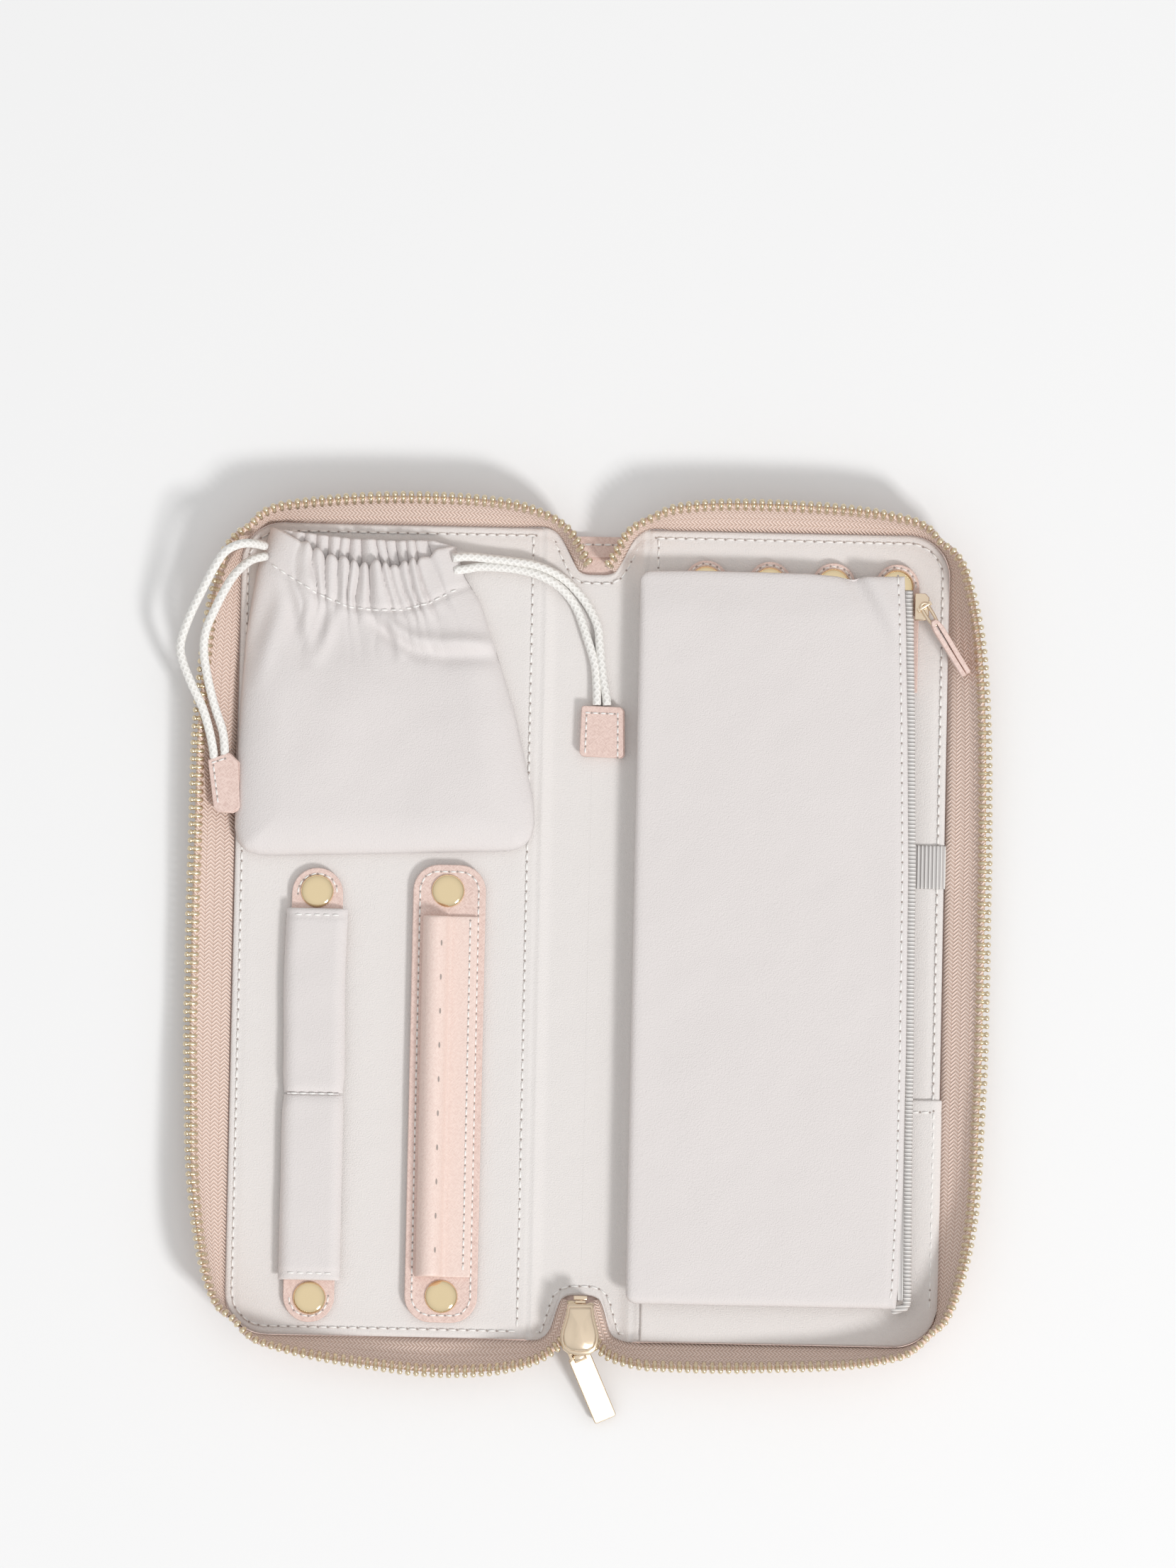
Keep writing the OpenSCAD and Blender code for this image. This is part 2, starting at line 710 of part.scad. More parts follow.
bend_upper_route = [[-20.9, 104.6, 5], [-17.5, 104, 5], [-14.5, 103, 4.6], [-11.4, 101.4, 4.1],
    [-9.1, 99.9, 3.8]];
bend_lower_route = [[-20.9, 102, 5], [-17.5, 101.3, 5], [-14.5, 100.2, 4.6], [-12, 98.8, 4.1],
    [-10.6, 97.5, 3.8]];
end_upper_route = [[-9, 99.8, 3.8], [-6.4, 97.6, 3.6], [-2.6, 92.6, 3.6], [0.6, 86.2, 3.6], [2, 80, 3.7],
    [2.8, 73, 3.8], [3.9, 66, 3.9], [4.1, 64.3, 3.9]];
end_lower_route = [[-10.5, 97.4, 3.8], [-8.4, 95.2, 3.6], [-5.2, 90.8, 3.6], [-2.6, 84.6, 3.6],
    [-0.9, 78.5, 3.7],
    [0, 72, 3.8], [1, 66, 3.9], [1.2, 64.3, 3.9]];

function along(route, i) =
    let (n = len(route), d = route[min(i + 1, n - 1)] - route[max(i - 1, 0)]) d / norm(d);
function cord_ring(p, d, r) =
    let (u = cross(d, [0, 0, 1]) / norm(cross(d, [0, 0, 1])), v = cross(u, d))
    [for (k = [0:7]) p + r * (cos(k * 45) * u + sin(k * 45) * v)];

module cord(route) {
    color(cord_white)
        sweep([for (i = [len(route) - 1:-1:0]) cord_ring(route[i], along(route, i), cord_d / 2)]);
}

module left_cord_outer() {
    cord(left_outer_route);
}

module left_cord_inner() {
    cord(left_inner_route);
}

module right_cord_upper() {
    cord(right_upper_route);
}

module right_cord_lower() {
    cord(right_lower_route);
}

module right_cord_bends() {
    cord(bend_upper_route);
    cord(bend_lower_route);
}

module right_cord_ends() {
    cord(end_upper_route);
    cord(end_lower_route);
}

// a folded leather tag, narrower at the end that the cords go into; origin at the middle of that end
tag_w = 12.6;
tag_len = 14.4;
module tag(w, t) {
    color(blush) translate([0, 0, -t / 2]) linear_extrude(t)
        polygon([[-w / 2 + 1, 0], [w / 2 - 1, 0], [w / 2 - 0.2, -0.8], [w / 2, -tag_len + 0.8],
            [w / 2 - 0.8, -tag_len], [-w / 2 + 0.8, -tag_len], [-w / 2, -tag_len + 0.8],
            [-w / 2 + 0.8, -0.8]]);
}

module left_tag() {
    translate([-104.9, 46.4, 7.4]) rotate([4, 10, 8]) tag(8.8, 2.4);
}

module right_tag() {
    translate([2.7, 64.2, 3.95]) rotate([0, 0, -1]) tag(tag_w, 3.0);
}

// ---- right tray: necklace tabs, elastic band and chain pocket under the page ----
page_x1 = x_edge - page_edge;    // right edge of the page's fabric
page_x0 = x_fold + 5;            // the page is flexible between here and the fold
page_y = y_end - page_end;
necklace_y = page_y - 3.5;       // snaps, just under the page's top edge
necklace_x0 = x_edge - 69.5;
function necklace_x(i) = necklace_x0 + i * necklace_pitch;
necklace_count = 4;
necklace_len = 30;

module necklace_tabs() {
    r = necklace_w / 2;
    color(blush) for (i = [0:necklace_count - 1]) difference() {
        plate(concat(arc([necklace_x(i), necklace_y], r, 0, 180, 16),
            [[necklace_x(i) - r, necklace_y - necklace_len],
                [necklace_x(i) + r, necklace_y - necklace_len]]), tab_z, leather_t);
        socket_hole(necklace_x(i), necklace_y, tab_z);
    }
}

module necklace_caps() {
    color(gold) for (i = [0:necklace_count - 1]) cap(necklace_x(i), necklace_y, tab_z + leather_t);
}

module right_studs() {
    color(gold) for (i = [0:necklace_count - 1]) stud(necklace_x(i), necklace_y);
}

elastic_y = 21;                  // middle of the elastic band
module elastic_band() {
    x0 = x_fold + 3;
    x1 = x_edge - lining_in - 0.1;
    color(silver_grey) translate([x0, elastic_y - elastic_w / 2, tray_z]) cube([x1 - x0, elastic_w, 1.0]);
}

module chain_pocket() {
    x0 = x_fold + 2;
    x1 = x_edge - lining_in;
    y0 = -y_end + lining_in;
    q = corner_r - lining_in;
    color(velvet) plate(concat([[x0, y0]], arc([x1 - q, y0 + q], q, -90, 0),
            [[x1, y0 + pocket_h], [x0, y0 + pocket_h]]),
        tray_z, 0.8);
}

// ---- zipped page ----
page_z = tray_z + page_lift;
page_mid = page_z + page_t / 2;
page_r = 4;
function page_outline(inset = 0) = strip_outline((page_x0 + page_x1) / 2, page_x1 - page_x0 - 2 * inset,
    -page_y + inset, page_y - inset, page_r);

module page_back() {
    color(velvet_light) plate(page_outline(), page_z, page_t / 2);
}

module page_front() {
    color(velvet_light) plate(page_outline(), page_mid, page_t / 2);
}

module page_hinge() {
    x0 = x_fold + fold_gap;
    color(velvet_light) {
        translate([x0, -page_y, page_mid - 0.8]) cube([page_x0 - x0, 2 * page_y, 1.6]);
        translate([x0, -page_y, tray_z]) cube([1.0, 2 * page_y, page_mid - 0.8 - tray_z]);
    }
}

coil_w = 2.2;
coil_h = 1.8;
coil_x = page_x1 + 1.4 + coil_w / 2;
zip_y = page_y - 3;
module page_zip_tape() {
    color(silver_grey) translate([page_x1, -zip_y, page_mid - 0.4]) cube([1.4, 2 * zip_y, 0.8]);
}

module page_zip_coil() {
    bulge = arc([coil_w - coil_h / 2, 0], coil_h / 2, -90, 90, 8);
    color(silver_grey) translate([coil_x - coil_w / 2, zip_y, page_mid]) rotate([90, 0, 0])
        linear_extrude(2 * zip_y) polygon(concat([[0, coil_h / 2], [0, -coil_h / 2]], bulge));
}

// slider that wraps the coil, open towards the tape
runner_len = 7.4;
runner_y = zip_y - 6;
module page_slider() {
    play = 0.25;
    wall = 0.9;
    x0 = page_x1 + 0.5;
    x1 = coil_x + coil_w / 2 + play + wall;
    h = coil_h + 2 * play;
    color(gold) {
        difference() {
            translate([x0, runner_y - runner_len / 2, page_mid - h / 2 - wall])
                cube([x1 - x0, runner_len, h + 2 * wall]);
            translate([x0 - 1, runner_y - runner_len, page_mid - h / 2])
                cube([x1 - x0 + 1 - wall, 2 * runner_len, h]);
        }
        translate([ring_x, ring_y, ring_z]) rotate([0, 90, strap_yaw])
            cylinder(d = 1.0, h = 4.4, center = true, $fn = 32);
        for (k = [-1, 1]) translate([ring_x, ring_y, ring_z]) rotate([0, 0, strap_yaw])
            translate([k * 1.9 - 0.3, -0.5, -1.7]) cube([0.6, 1, 2.2]);
    }
}

// the pull: a small link on the slider and a folded leather strap through it
ring_x = coil_x - 0.1;
ring_y = runner_y - 0.6;
ring_z = page_mid + coil_h / 2 + 2.45;
strap_yaw = 33;                  // direction of the pull from the spine's line
strap_drop = 8;
link_len = 5.2;
module pull_frame() {
    translate([ring_x, ring_y, ring_z]) rotate([0, 0, strap_yaw]) rotate([strap_drop, 0, 0]) children();
}

module page_pull_ring() {
    color(gold) pull_frame() difference() {
        union() {
            rotate([0, 90, 0]) cylinder(d = 2.2, h = 1.8, center = true, $fn = 48);
            translate([-0.9, -link_len, -0.55]) cube([1.8, link_len, 1.1]);
            translate([0, -link_len, 0]) rotate([0, 90, 0])
                cylinder(d = 2.0, h = 1.8, center = true, $fn = 48);
        }
        rotate([0, 90, 0]) cylinder(d = 1.3, h = 4, center = true, $fn = 48);
    }
}

module page_pull_strap() {
    from = link_len + 1.2;
    color(blush) pull_frame() {
        translate([-1.5, -from - 14.5, -1.2]) cube([1.2, 14.5, 3.4]);
        translate([0.3, -from - 14.5, -1.2]) cube([1.2, 14.5, 3.4]);
        translate([-1.5, -from - 15.7, -1.2]) cube([3.0, 1.2, 3.4]);
    }
}

spine_cover();
spine_felt();
spine_lining();
spine_hems();
spine_tape_left();
spine_tape_right();
spine_teeth();
zip_box();
main_slider();
main_pull();
left_cover();
left_foam();
left_board();
left_lining();
left_tape();
left_teeth();
left_tape_folds();
left_studs();
ring_anchor();
ring_strap_upper();
ring_tab_upper();
ring_cap_upper();
ring_strap_lower();
ring_tab_lower();
ring_cap_lower();
earring_base();
earring_roll();
earring_caps();
pouch_body();
pouch_neck();
left_cord_outer();
left_cord_inner();
left_tag();
right_cord_upper();
right_cord_lower();
right_cord_bends();
right_cord_ends();
right_tag();
right_cover();
right_foam();
right_board();
right_lining();
right_tape();
right_teeth();
right_tape_folds();
right_studs();
necklace_tabs();
necklace_caps();
elastic_band();
chain_pocket();
page_back();
page_front();
page_hinge();
page_zip_tape();
page_zip_coil();
page_slider();
page_pull_ring();
page_pull_strap();
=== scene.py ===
# Looks of the travel jewelry case, built in metres around its CAD frame.
from math import cos, exp, hypot, pi, radians, sin, sqrt
import bmesh
import bpy
import numpy as np
from mathutils import Matrix, Vector, noise


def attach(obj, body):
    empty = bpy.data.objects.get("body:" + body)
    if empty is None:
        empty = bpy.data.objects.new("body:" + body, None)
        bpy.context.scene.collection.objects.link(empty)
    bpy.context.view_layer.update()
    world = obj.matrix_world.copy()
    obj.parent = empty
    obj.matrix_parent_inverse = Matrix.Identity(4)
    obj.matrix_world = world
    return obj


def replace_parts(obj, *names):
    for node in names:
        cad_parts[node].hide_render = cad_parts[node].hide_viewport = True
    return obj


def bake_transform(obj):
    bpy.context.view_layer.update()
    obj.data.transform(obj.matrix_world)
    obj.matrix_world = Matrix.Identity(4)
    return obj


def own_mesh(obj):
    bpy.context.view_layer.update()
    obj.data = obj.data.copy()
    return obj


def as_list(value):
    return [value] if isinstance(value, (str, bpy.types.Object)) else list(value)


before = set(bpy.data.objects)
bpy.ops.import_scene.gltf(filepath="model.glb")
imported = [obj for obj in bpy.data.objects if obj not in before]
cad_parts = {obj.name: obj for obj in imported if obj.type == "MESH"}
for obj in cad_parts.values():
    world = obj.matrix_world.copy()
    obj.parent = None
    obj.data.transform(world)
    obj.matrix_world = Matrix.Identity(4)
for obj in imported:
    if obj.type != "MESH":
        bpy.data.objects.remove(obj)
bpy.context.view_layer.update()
scene = bpy.context.scene
mm = 0.001
print("frame loaded")

# Camera, floor and light
camera = {"tilt": 3.5, "roll": 1.2, "distance": 3.0, "aim": (-0.9, 42.2, 6.0), "tall": 442.4, "sensor": 36.0}
lens = bpy.data.cameras.new("camera")
lens.sensor_width = camera["sensor"]
lens.lens = camera["sensor"] * camera["distance"] / (camera["tall"] * mm)
lens.clip_end = 20
cameraObject = bpy.data.objects.new("camera", lens)
scene.collection.objects.link(cameraObject)
tilt = Matrix.Rotation(radians(camera["tilt"]), 4, "X")
roll = Matrix.Rotation(radians(camera["roll"]), 4, "Z")
back = tilt @ Vector((0, 0, camera["distance"]))
cameraObject.matrix_world = Matrix.Translation(Vector(camera["aim"]) * mm + back) @ tilt @ roll
scene.camera = cameraObject

light = {"key": (2.2, -2.4, 2.9), "keySize": 0.75, "keyPower": 104, "world": 0.82, "floor": 0.875,
         "horizon": 0.62}
world = bpy.data.worlds.new("studio")
world.use_nodes = True
tree = world.node_tree
sky = {"coords": tree.nodes.new("ShaderNodeTexCoord"), "split": tree.nodes.new("ShaderNodeSeparateXYZ"),
       "ramp": tree.nodes.new("ShaderNodeValToRGB")}
tree.links.new(sky["coords"].outputs["Generated"], sky["split"].inputs[0])
tree.links.new(sky["split"].outputs[2], sky["ramp"].inputs[0])
ramp = sky["ramp"].color_ramp
ramp.elements[0].position, ramp.elements[0].color = 0.3, (light["horizon"],) * 3 + (1,)
ramp.elements[1].position, ramp.elements[1].color = 0.9, (1, 1, 1, 1)
tree.links.new(sky["ramp"].outputs[0], tree.nodes["Background"].inputs["Color"])
tree.nodes["Background"].inputs["Strength"].default_value = light["world"]
scene.world = world
scene.view_settings.view_transform = "Standard"
lamp = bpy.data.lights.new("key", "AREA")
lamp.energy = light["keyPower"]
lamp.size = light["keySize"]
lampObject = bpy.data.objects.new("key", lamp)
lampObject.location = light["key"]
lampObject.rotation_euler = (Vector((0, 0, 0)) - Vector(light["key"])).to_track_quat("-Z", "Y").to_euler()
scene.collection.objects.link(lampObject)


# Small helpers
def linear(value):
    value /= 255
    return value / 12.92 if value <= 0.04045 else ((value + 0.055) / 1.055) ** 2.4


def shade(red, green, blue):
    return (linear(red), linear(green), linear(blue), 1)


def ripple(x, y, size, seed=0.0):
    # Smooth noise from -1 to 1 that changes over about size millimetres.
    return noise.noise(Vector((x / size + seed, y / size - seed, seed)))


def rounded(distance, radius):
    # 0 at an edge, 1 at radius from it, along a quarter circle.
    part = min(max(distance / radius, 0), 1)
    return sqrt(max(1 - (1 - part) ** 2, 0))


def smooth(value, low, high):
    part = min(max((value - low) / (high - low), 0), 1)
    return part * part * (3 - 2 * part)


def between(table, x):
    # Value at x of a line through the points in table.
    if x <= table[0][0]:
        return table[0][1]
    for (x0, y0), (x1, y1) in zip(table, table[1:]):
        if x <= x1:
            return y0 + (y1 - y0) * (x - x0) / (x1 - x0)
    return table[-1][1]


def curve(points, step):
    # A smooth line through points, with a point about every step.
    points = [np.array(p, float) for p in points]
    ends = [2 * points[0] - points[1]] + points + [2 * points[-1] - points[-2]]
    line = []
    for a, b, c, d in zip(ends, ends[1:], ends[2:], ends[3:]):
        count = max(1, int(np.linalg.norm((c - b)[:3]) / step + 0.5))
        for i in range(count):
            t = i / count
            line.append(0.5 * (2 * b + (c - a) * t + (2 * a - 5 * b + 4 * c - d) * t ** 2
                               + (3 * b - a - 3 * c + d) * t ** 3))
    return line + [points[-1]]


def lengthOf(line):
    return sum(float(np.linalg.norm(b - a)) for a, b in zip(line, line[1:]))


def unit(vector):
    return vector / (np.linalg.norm(vector) + 1e-9)


def evenly(line, step):
    # Points every step along a line, each with its direction and its distance.
    found, gone, want = [], 0.0, step / 2
    for a, b in zip(line, line[1:]):
        run = float(np.linalg.norm((b - a)[:3]))
        while run > 0 and want <= gone + run:
            found.append((a + (b - a) * (want - gone) / run, (b - a)[:3] / run, want))
            want += step
        gone += run
    return found


def arc(centre, radius, start, end, count):
    return [(centre[0] + radius * cos(radians(start + (end - start) * i / count)),
             centre[1] + radius * sin(radians(start + (end - start) * i / count))) for i in range(count + 1)]


def turns(count, first=0.0):
    return [2 * pi * (k + first) / count for k in range(count)]


def sleeve(start, count, size, caps=True):
    # Faces round count rings of size points each, and over both ends.
    faces = [(start + i * size + j, start + i * size + (j + 1) % size,
              start + (i + 1) * size + (j + 1) % size, start + (i + 1) * size + j)
             for i in range(count - 1) for j in range(size)]
    if caps:
        last = start + (count - 1) * size
        faces += [tuple(range(start, start + size)), tuple(range(last, last + size))]
    return faces


def dress(look, *nodes):
    # A new material for CAD pieces that are kept as they are.
    for node in nodes:
        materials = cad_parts[node].data.materials
        materials.clear()
        materials.append(look)


def build(name, points, faces, look, uvs=None, flat=(), mend=True):
    # A mesh from points in millimetres.
    mesh = bpy.data.meshes.new(name)
    mesh.from_pydata([(p[0] * mm, p[1] * mm, p[2] * mm) for p in points], [], faces)
    mesh.polygons.foreach_set("use_smooth", [i not in flat for i in range(len(faces))])
    if uvs is not None:
        layer = mesh.uv_layers.new(name="UVMap")
        for loop in mesh.loops:
            layer.data[loop.index].uv = uvs[loop.vertex_index]
    if mend:
        work = bmesh.new()
        work.from_mesh(mesh)
        bmesh.ops.recalc_face_normals(work, faces=work.faces)
        work.to_mesh(mesh)
        work.free()
    mesh.materials.append(look)
    made = bpy.data.objects.new(name, mesh)
    scene.collection.objects.link(made)
    return made


def spread(length, edge, step):
    # Places from 0 to length, close together within edge of both ends.
    ends = [edge * (1 - cos(pi / 2 * i / 5)) for i in range(6)]
    count = max(2, round((length - 2 * edge) / step))
    middle = [edge + (length - 2 * edge) * i / count for i in range(1, count)]
    return ends + middle + [length - e for e in reversed(ends)]


def softPatch(name, width, height, edge, step, place, top, bottom, look):
    # A padded or cloth piece: place(a, b) gives x and y, top and bottom give z from x, y and the edge distances.
    aPlaces, bPlaces = spread(width, edge, step), spread(height, edge, step)
    rows, cols = len(aPlaces), len(bPlaces)
    upper, lower = [], []
    for a in aPlaces:
        for b in bPlaces:
            x, y = place(a, b)
            da, db = min(a, width - a), min(b, height - b)
            upper.append((x, y, top(x, y, da, db)))
            lower.append((x, y, bottom(x, y, da, db)))
    total = rows * cols
    faces = []
    for i in range(rows - 1):
        for j in range(cols - 1):
            k = i * cols + j
            faces.append((k, k + cols, k + cols + 1, k + 1))
            faces.append((total + k, total + k + 1, total + k + cols + 1, total + k + cols))
    rim = ([i * cols for i in range(rows)] + [(rows - 1) * cols + j for j in range(1, cols)]
           + [i * cols + cols - 1 for i in range(rows - 2, -1, -1)] + [j for j in range(cols - 2, 0, -1)])
    for p, q in zip(rim, rim[1:] + rim[:1]):
        faces.append((p, q, total + q, total + p))
    return build(name, upper + lower, faces, look)


def loft(name, rings, look, uvs=None, caps=True):
    # A surface through rings of points.
    faces = sleeve(0, len(rings), len(rings[0]), caps)
    flat = {len(faces) - 2, len(faces) - 1} if caps else set()
    return build(name, [p for ring in rings for p in ring], faces, look, uvs, flat)


def insetLine(outline, amount):
    # A closed outline moved inwards.
    points = [np.array(p[:2], float) for p in outline]
    area = sum(a[0] * b[1] - a[1] * b[0] for a, b in zip(points, points[1:] + points[:1]))
    turn = 1 if area > 0 else -1
    moved = []
    for i, p in enumerate(points):
        before, after = p - points[i - 1], points[(i + 1) % len(points)] - p
        ahead = unit(before) + unit(after)
        moved.append(p + unit(np.array([-ahead[1], ahead[0]])) * turn * amount)
    return moved


def plate(name, outline, low, high, bevel, look, move=None):
    # A flat piece with softened edges, moved by a matrix in millimetres if one is given.
    part = 0.3 * bevel
    levels = [(bevel, low), (part, low + part), (0, low + bevel), (0, high - bevel), (part, high - part),
              (bevel, high)]
    rings = []
    for amount, z in levels:
        ring = [Vector((p[0], p[1], z)) for p in insetLine(outline, amount)]
        rings.append([tuple(move @ p) if move else tuple(p) for p in ring])
    return loft(name, rings, look)


def joined(name, parts):
    # Several pieces of one kind as one.
    bpy.ops.object.select_all(action="DESELECT")
    for part in parts:
        part.select_set(True)
    bpy.context.view_layer.objects.active = parts[0]
    bpy.ops.object.join()
    parts[0].name = name
    return parts[0]


def tube(name, line, radius, look, sides=12):
    # A round cord along a line in millimetres, with its length and turn in its UVs.
    rings, uvs, gone = [], [], 0.0
    up = Vector((0, 0, 1))
    for i, p in enumerate(line):
        ahead = Vector(line[min(i + 1, len(line) - 1)] - line[max(i - 1, 0)]).normalized()
        side = ahead.cross(up).normalized()
        up = side.cross(ahead).normalized()
        if i:
            gone += float(np.linalg.norm(p - line[i - 1]))
        rings.append([tuple(Vector(p) + radius * (cos(a) * side + sin(a) * up)) for a in turns(sides)])
        uvs += [(gone * mm, k / sides) for k in range(sides)]
    return loft(name, rings, look, uvs)


def finishPiece(piece, body, slot, *nodes):
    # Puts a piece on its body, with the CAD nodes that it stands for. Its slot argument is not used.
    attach(piece, body)
    if nodes:
        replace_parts(piece, *nodes)
    return piece


# Materials
class Shader:
    # A principled material with short calls for its nodes.
    def __init__(self, name, colour, rough, metal=0.0, sheen=0.0):
        self.material = bpy.data.materials.new(name)
        self.material.use_nodes = True
        self.tree = self.material.node_tree
        self.main = self.tree.nodes["Principled BSDF"]
        self.main.inputs["Base Color"].default_value = colour
        self.main.inputs["Roughness"].default_value = rough
        self.main.inputs["Metallic"].default_value = metal
        self.main.inputs["Sheen Weight"].default_value = sheen
        self.main.inputs["Sheen Roughness"].default_value = 0.4
        self.coords = self.tree.nodes.new("ShaderNodeTexCoord")

    def put(self, socket, value):
        if isinstance(value, bpy.types.NodeSocket):
            self.tree.links.new(value, socket)
        else:
            socket.default_value = value

    def math(self, kind, a, b=0.0):
        node = self.tree.nodes.new("ShaderNodeMath")
        node.operation = kind
        self.put(node.inputs[0], a)
        self.put(node.inputs[1], b)
        return node.outputs[0]

    def axes(self, source):
        node = self.tree.nodes.new("ShaderNodeSeparateXYZ")
        self.put(node.inputs[0], self.coords.outputs[source])
        return node.outputs

    def noise(self, scale, detail, stretch=(1, 1, 1), turn=0.0):
        mapping = self.tree.nodes.new("ShaderNodeMapping")
        mapping.vector_type = "TEXTURE"
        mapping.inputs["Scale"].default_value = stretch
        mapping.inputs["Rotation"].default_value = (0, 0, turn)
        self.put(mapping.inputs["Vector"], self.coords.outputs["Object"])
        node = self.tree.nodes.new("ShaderNodeTexNoise")
        node.inputs["Scale"].default_value = scale
        node.inputs["Detail"].default_value = detail
        self.put(node.inputs["Vector"], mapping.outputs[0])
        return node.outputs["Fac"]

    def tint(self, factor, dark, lightColour, low, high):
        ramp = self.tree.nodes.new("ShaderNodeValToRGB")
        ramp.color_ramp.elements[0].position = low
        ramp.color_ramp.elements[1].position = high
        ramp.color_ramp.elements[0].color = dark
        ramp.color_ramp.elements[1].color = lightColour
        self.put(ramp.inputs[0], factor)
        self.put(self.main.inputs["Base Color"], ramp.outputs[0])

    def bump(self, height, depth, strength):
        node = self.tree.nodes.new("ShaderNodeBump")
        node.inputs["Distance"].default_value = depth
        node.inputs["Strength"].default_value = strength
        self.put(node.inputs["Height"], height)
        self.put(self.main.inputs["Normal"], node.outputs[0])


def velvetLook(name, dark, lightColour):
    made = Shader(name, lightColour, 0.9, sheen=0.25)
    made.tint(made.math("MULTIPLY_ADD", made.noise(9, 3), 0.5), dark, lightColour, 0.15, 0.4)
    fine = made.math("ADD", made.noise(2600, 2), made.math("MULTIPLY", made.noise(60, 3), 1.5))
    made.bump(fine, 0.00035, 0.55)
    return made.material


def leatherLook(name, dark, lightColour):
    made = Shader(name, lightColour, 0.45)
    one = made.noise(3000, 1, (1, 4, 1), 0.8)
    two = made.noise(3000, 1, (1, 4, 1), -0.8)
    cross = made.math("MAXIMUM", one, two)
    made.tint(cross, dark, lightColour, 0.42, 0.66)
    made.bump(cross, 0.00018, 0.6)
    return made.material


def tapeLook():
    made = Shader("zipTape", shade(218, 194, 179), 0.8)
    uv = made.axes("UV")
    fold = made.math("PINGPONG", uv[1], 0.0013)
    slant = made.math("ADD", uv[0], made.math("MULTIPLY", fold, 0.9))
    phase = made.math("MULTIPLY", slant, 2 * pi / 0.0011)
    weave = made.math("MULTIPLY_ADD", made.math("SINE", phase), 0.5)
    column = made.math("LESS_THAN", fold, 0.00012)
    colour = made.math("SUBTRACT", weave, made.math("MULTIPLY", column, 0.5))
    made.tint(colour, shade(213, 184, 168), shade(251, 229, 217), 0, 1)
    made.bump(weave, 0.0003, 0.9)
    return made.material


def cordLook():
    made = Shader("cordBraid", shade(240, 238, 233), 0.75, sheen=0.2)
    uv = made.axes("UV")
    around = made.math("MULTIPLY", uv[1], 2 * pi * 4)
    along = made.math("MULTIPLY", uv[0], 2 * pi / 0.0019)
    one = made.math("SINE", made.math("ADD", along, around))
    two = made.math("SINE", made.math("SUBTRACT", along, around))
    braid = made.math("MAXIMUM", one, two)
    made.tint(braid, shade(231, 228, 223), shade(243, 241, 237), 0.1, 0.8)
    made.bump(braid, 0.00014, 0.6)
    return made.material


def ribLook(name, axis, pitch, dark, lightColour):
    made = Shader(name, lightColour, 0.75)
    wave = made.math("SINE", made.math("MULTIPLY", made.axes("Object")[axis], 2 * pi / pitch))
    made.tint(wave, dark, lightColour, 0.0, 0.6)
    made.bump(wave, 0.00025, 0.8)
    return made.material


def metalLook(name, colour, rough):
    made = Shader(name, colour, rough, metal=1.0)
    made.bump(made.noise(900, 2), 0.00003, 0.5)
    return made.material


def plainLook(name, colour, rough, grain=1800):
    made = Shader(name, colour, rough)
    made.bump(made.noise(grain, 2), 0.0001, 0.5)
    return made.material


velvet = velvetLook("velvet", shade(214, 208, 205), shade(229, 224, 221))
paleVelvet = velvetLook("paleVelvet", shade(207, 201, 199), shade(224, 218, 216))
blush = leatherLook("coverLeather", shade(221, 194, 184), shade(236, 212, 202))
trim = leatherLook("trimLeather", shade(217, 189, 179), shade(234, 209, 199))
rollLeather = leatherLook("rollLeather", shade(231, 206, 196), shade(240, 218, 208))
tapeCloth = tapeLook()
braid = cordLook()
gold = metalLook("goldMetal", shade(240, 220, 194), 0.26)
pullGold = metalLook("pullGold", shade(212, 192, 168), 0.42)
capGold = metalLook("capGold", shade(246, 224, 182), 0.08)
teethGold = metalLook("zipTeethGold", shade(232, 216, 186), 0.28)
webbing = ribLook("greyWebbing", 0, 0.0011, shade(198, 194, 192), shade(232, 229, 226))
coilGrey = ribLook("coilNylon", 1, 0.0011, shade(200, 196, 193), shade(240, 237, 234))
thread = plainLook("thread", shade(243, 241, 238), 0.6)
# Flat dark colour: painted shade inside needle holes and earring slits.
holeShade = plainLook("needleHoleShade", shade(164, 152, 146), 0.9)
board = plainLook("paperboard", shade(150, 146, 142), 0.9)
wadding = velvetLook("wadding", shade(228, 228, 226), shade(240, 240, 238))
print("materials made")

floor = {"size": 6.0, "drop": 0.0001}
floorLook = plainLook("floor", (light["floor"],) * 3 + (1,), 0.9, 30)
bpy.ops.mesh.primitive_plane_add(size=floor["size"], location=(0, 0, -floor["drop"]))
ground = bpy.context.object
ground.name = "floor"
ground.data.materials.append(floorLook)

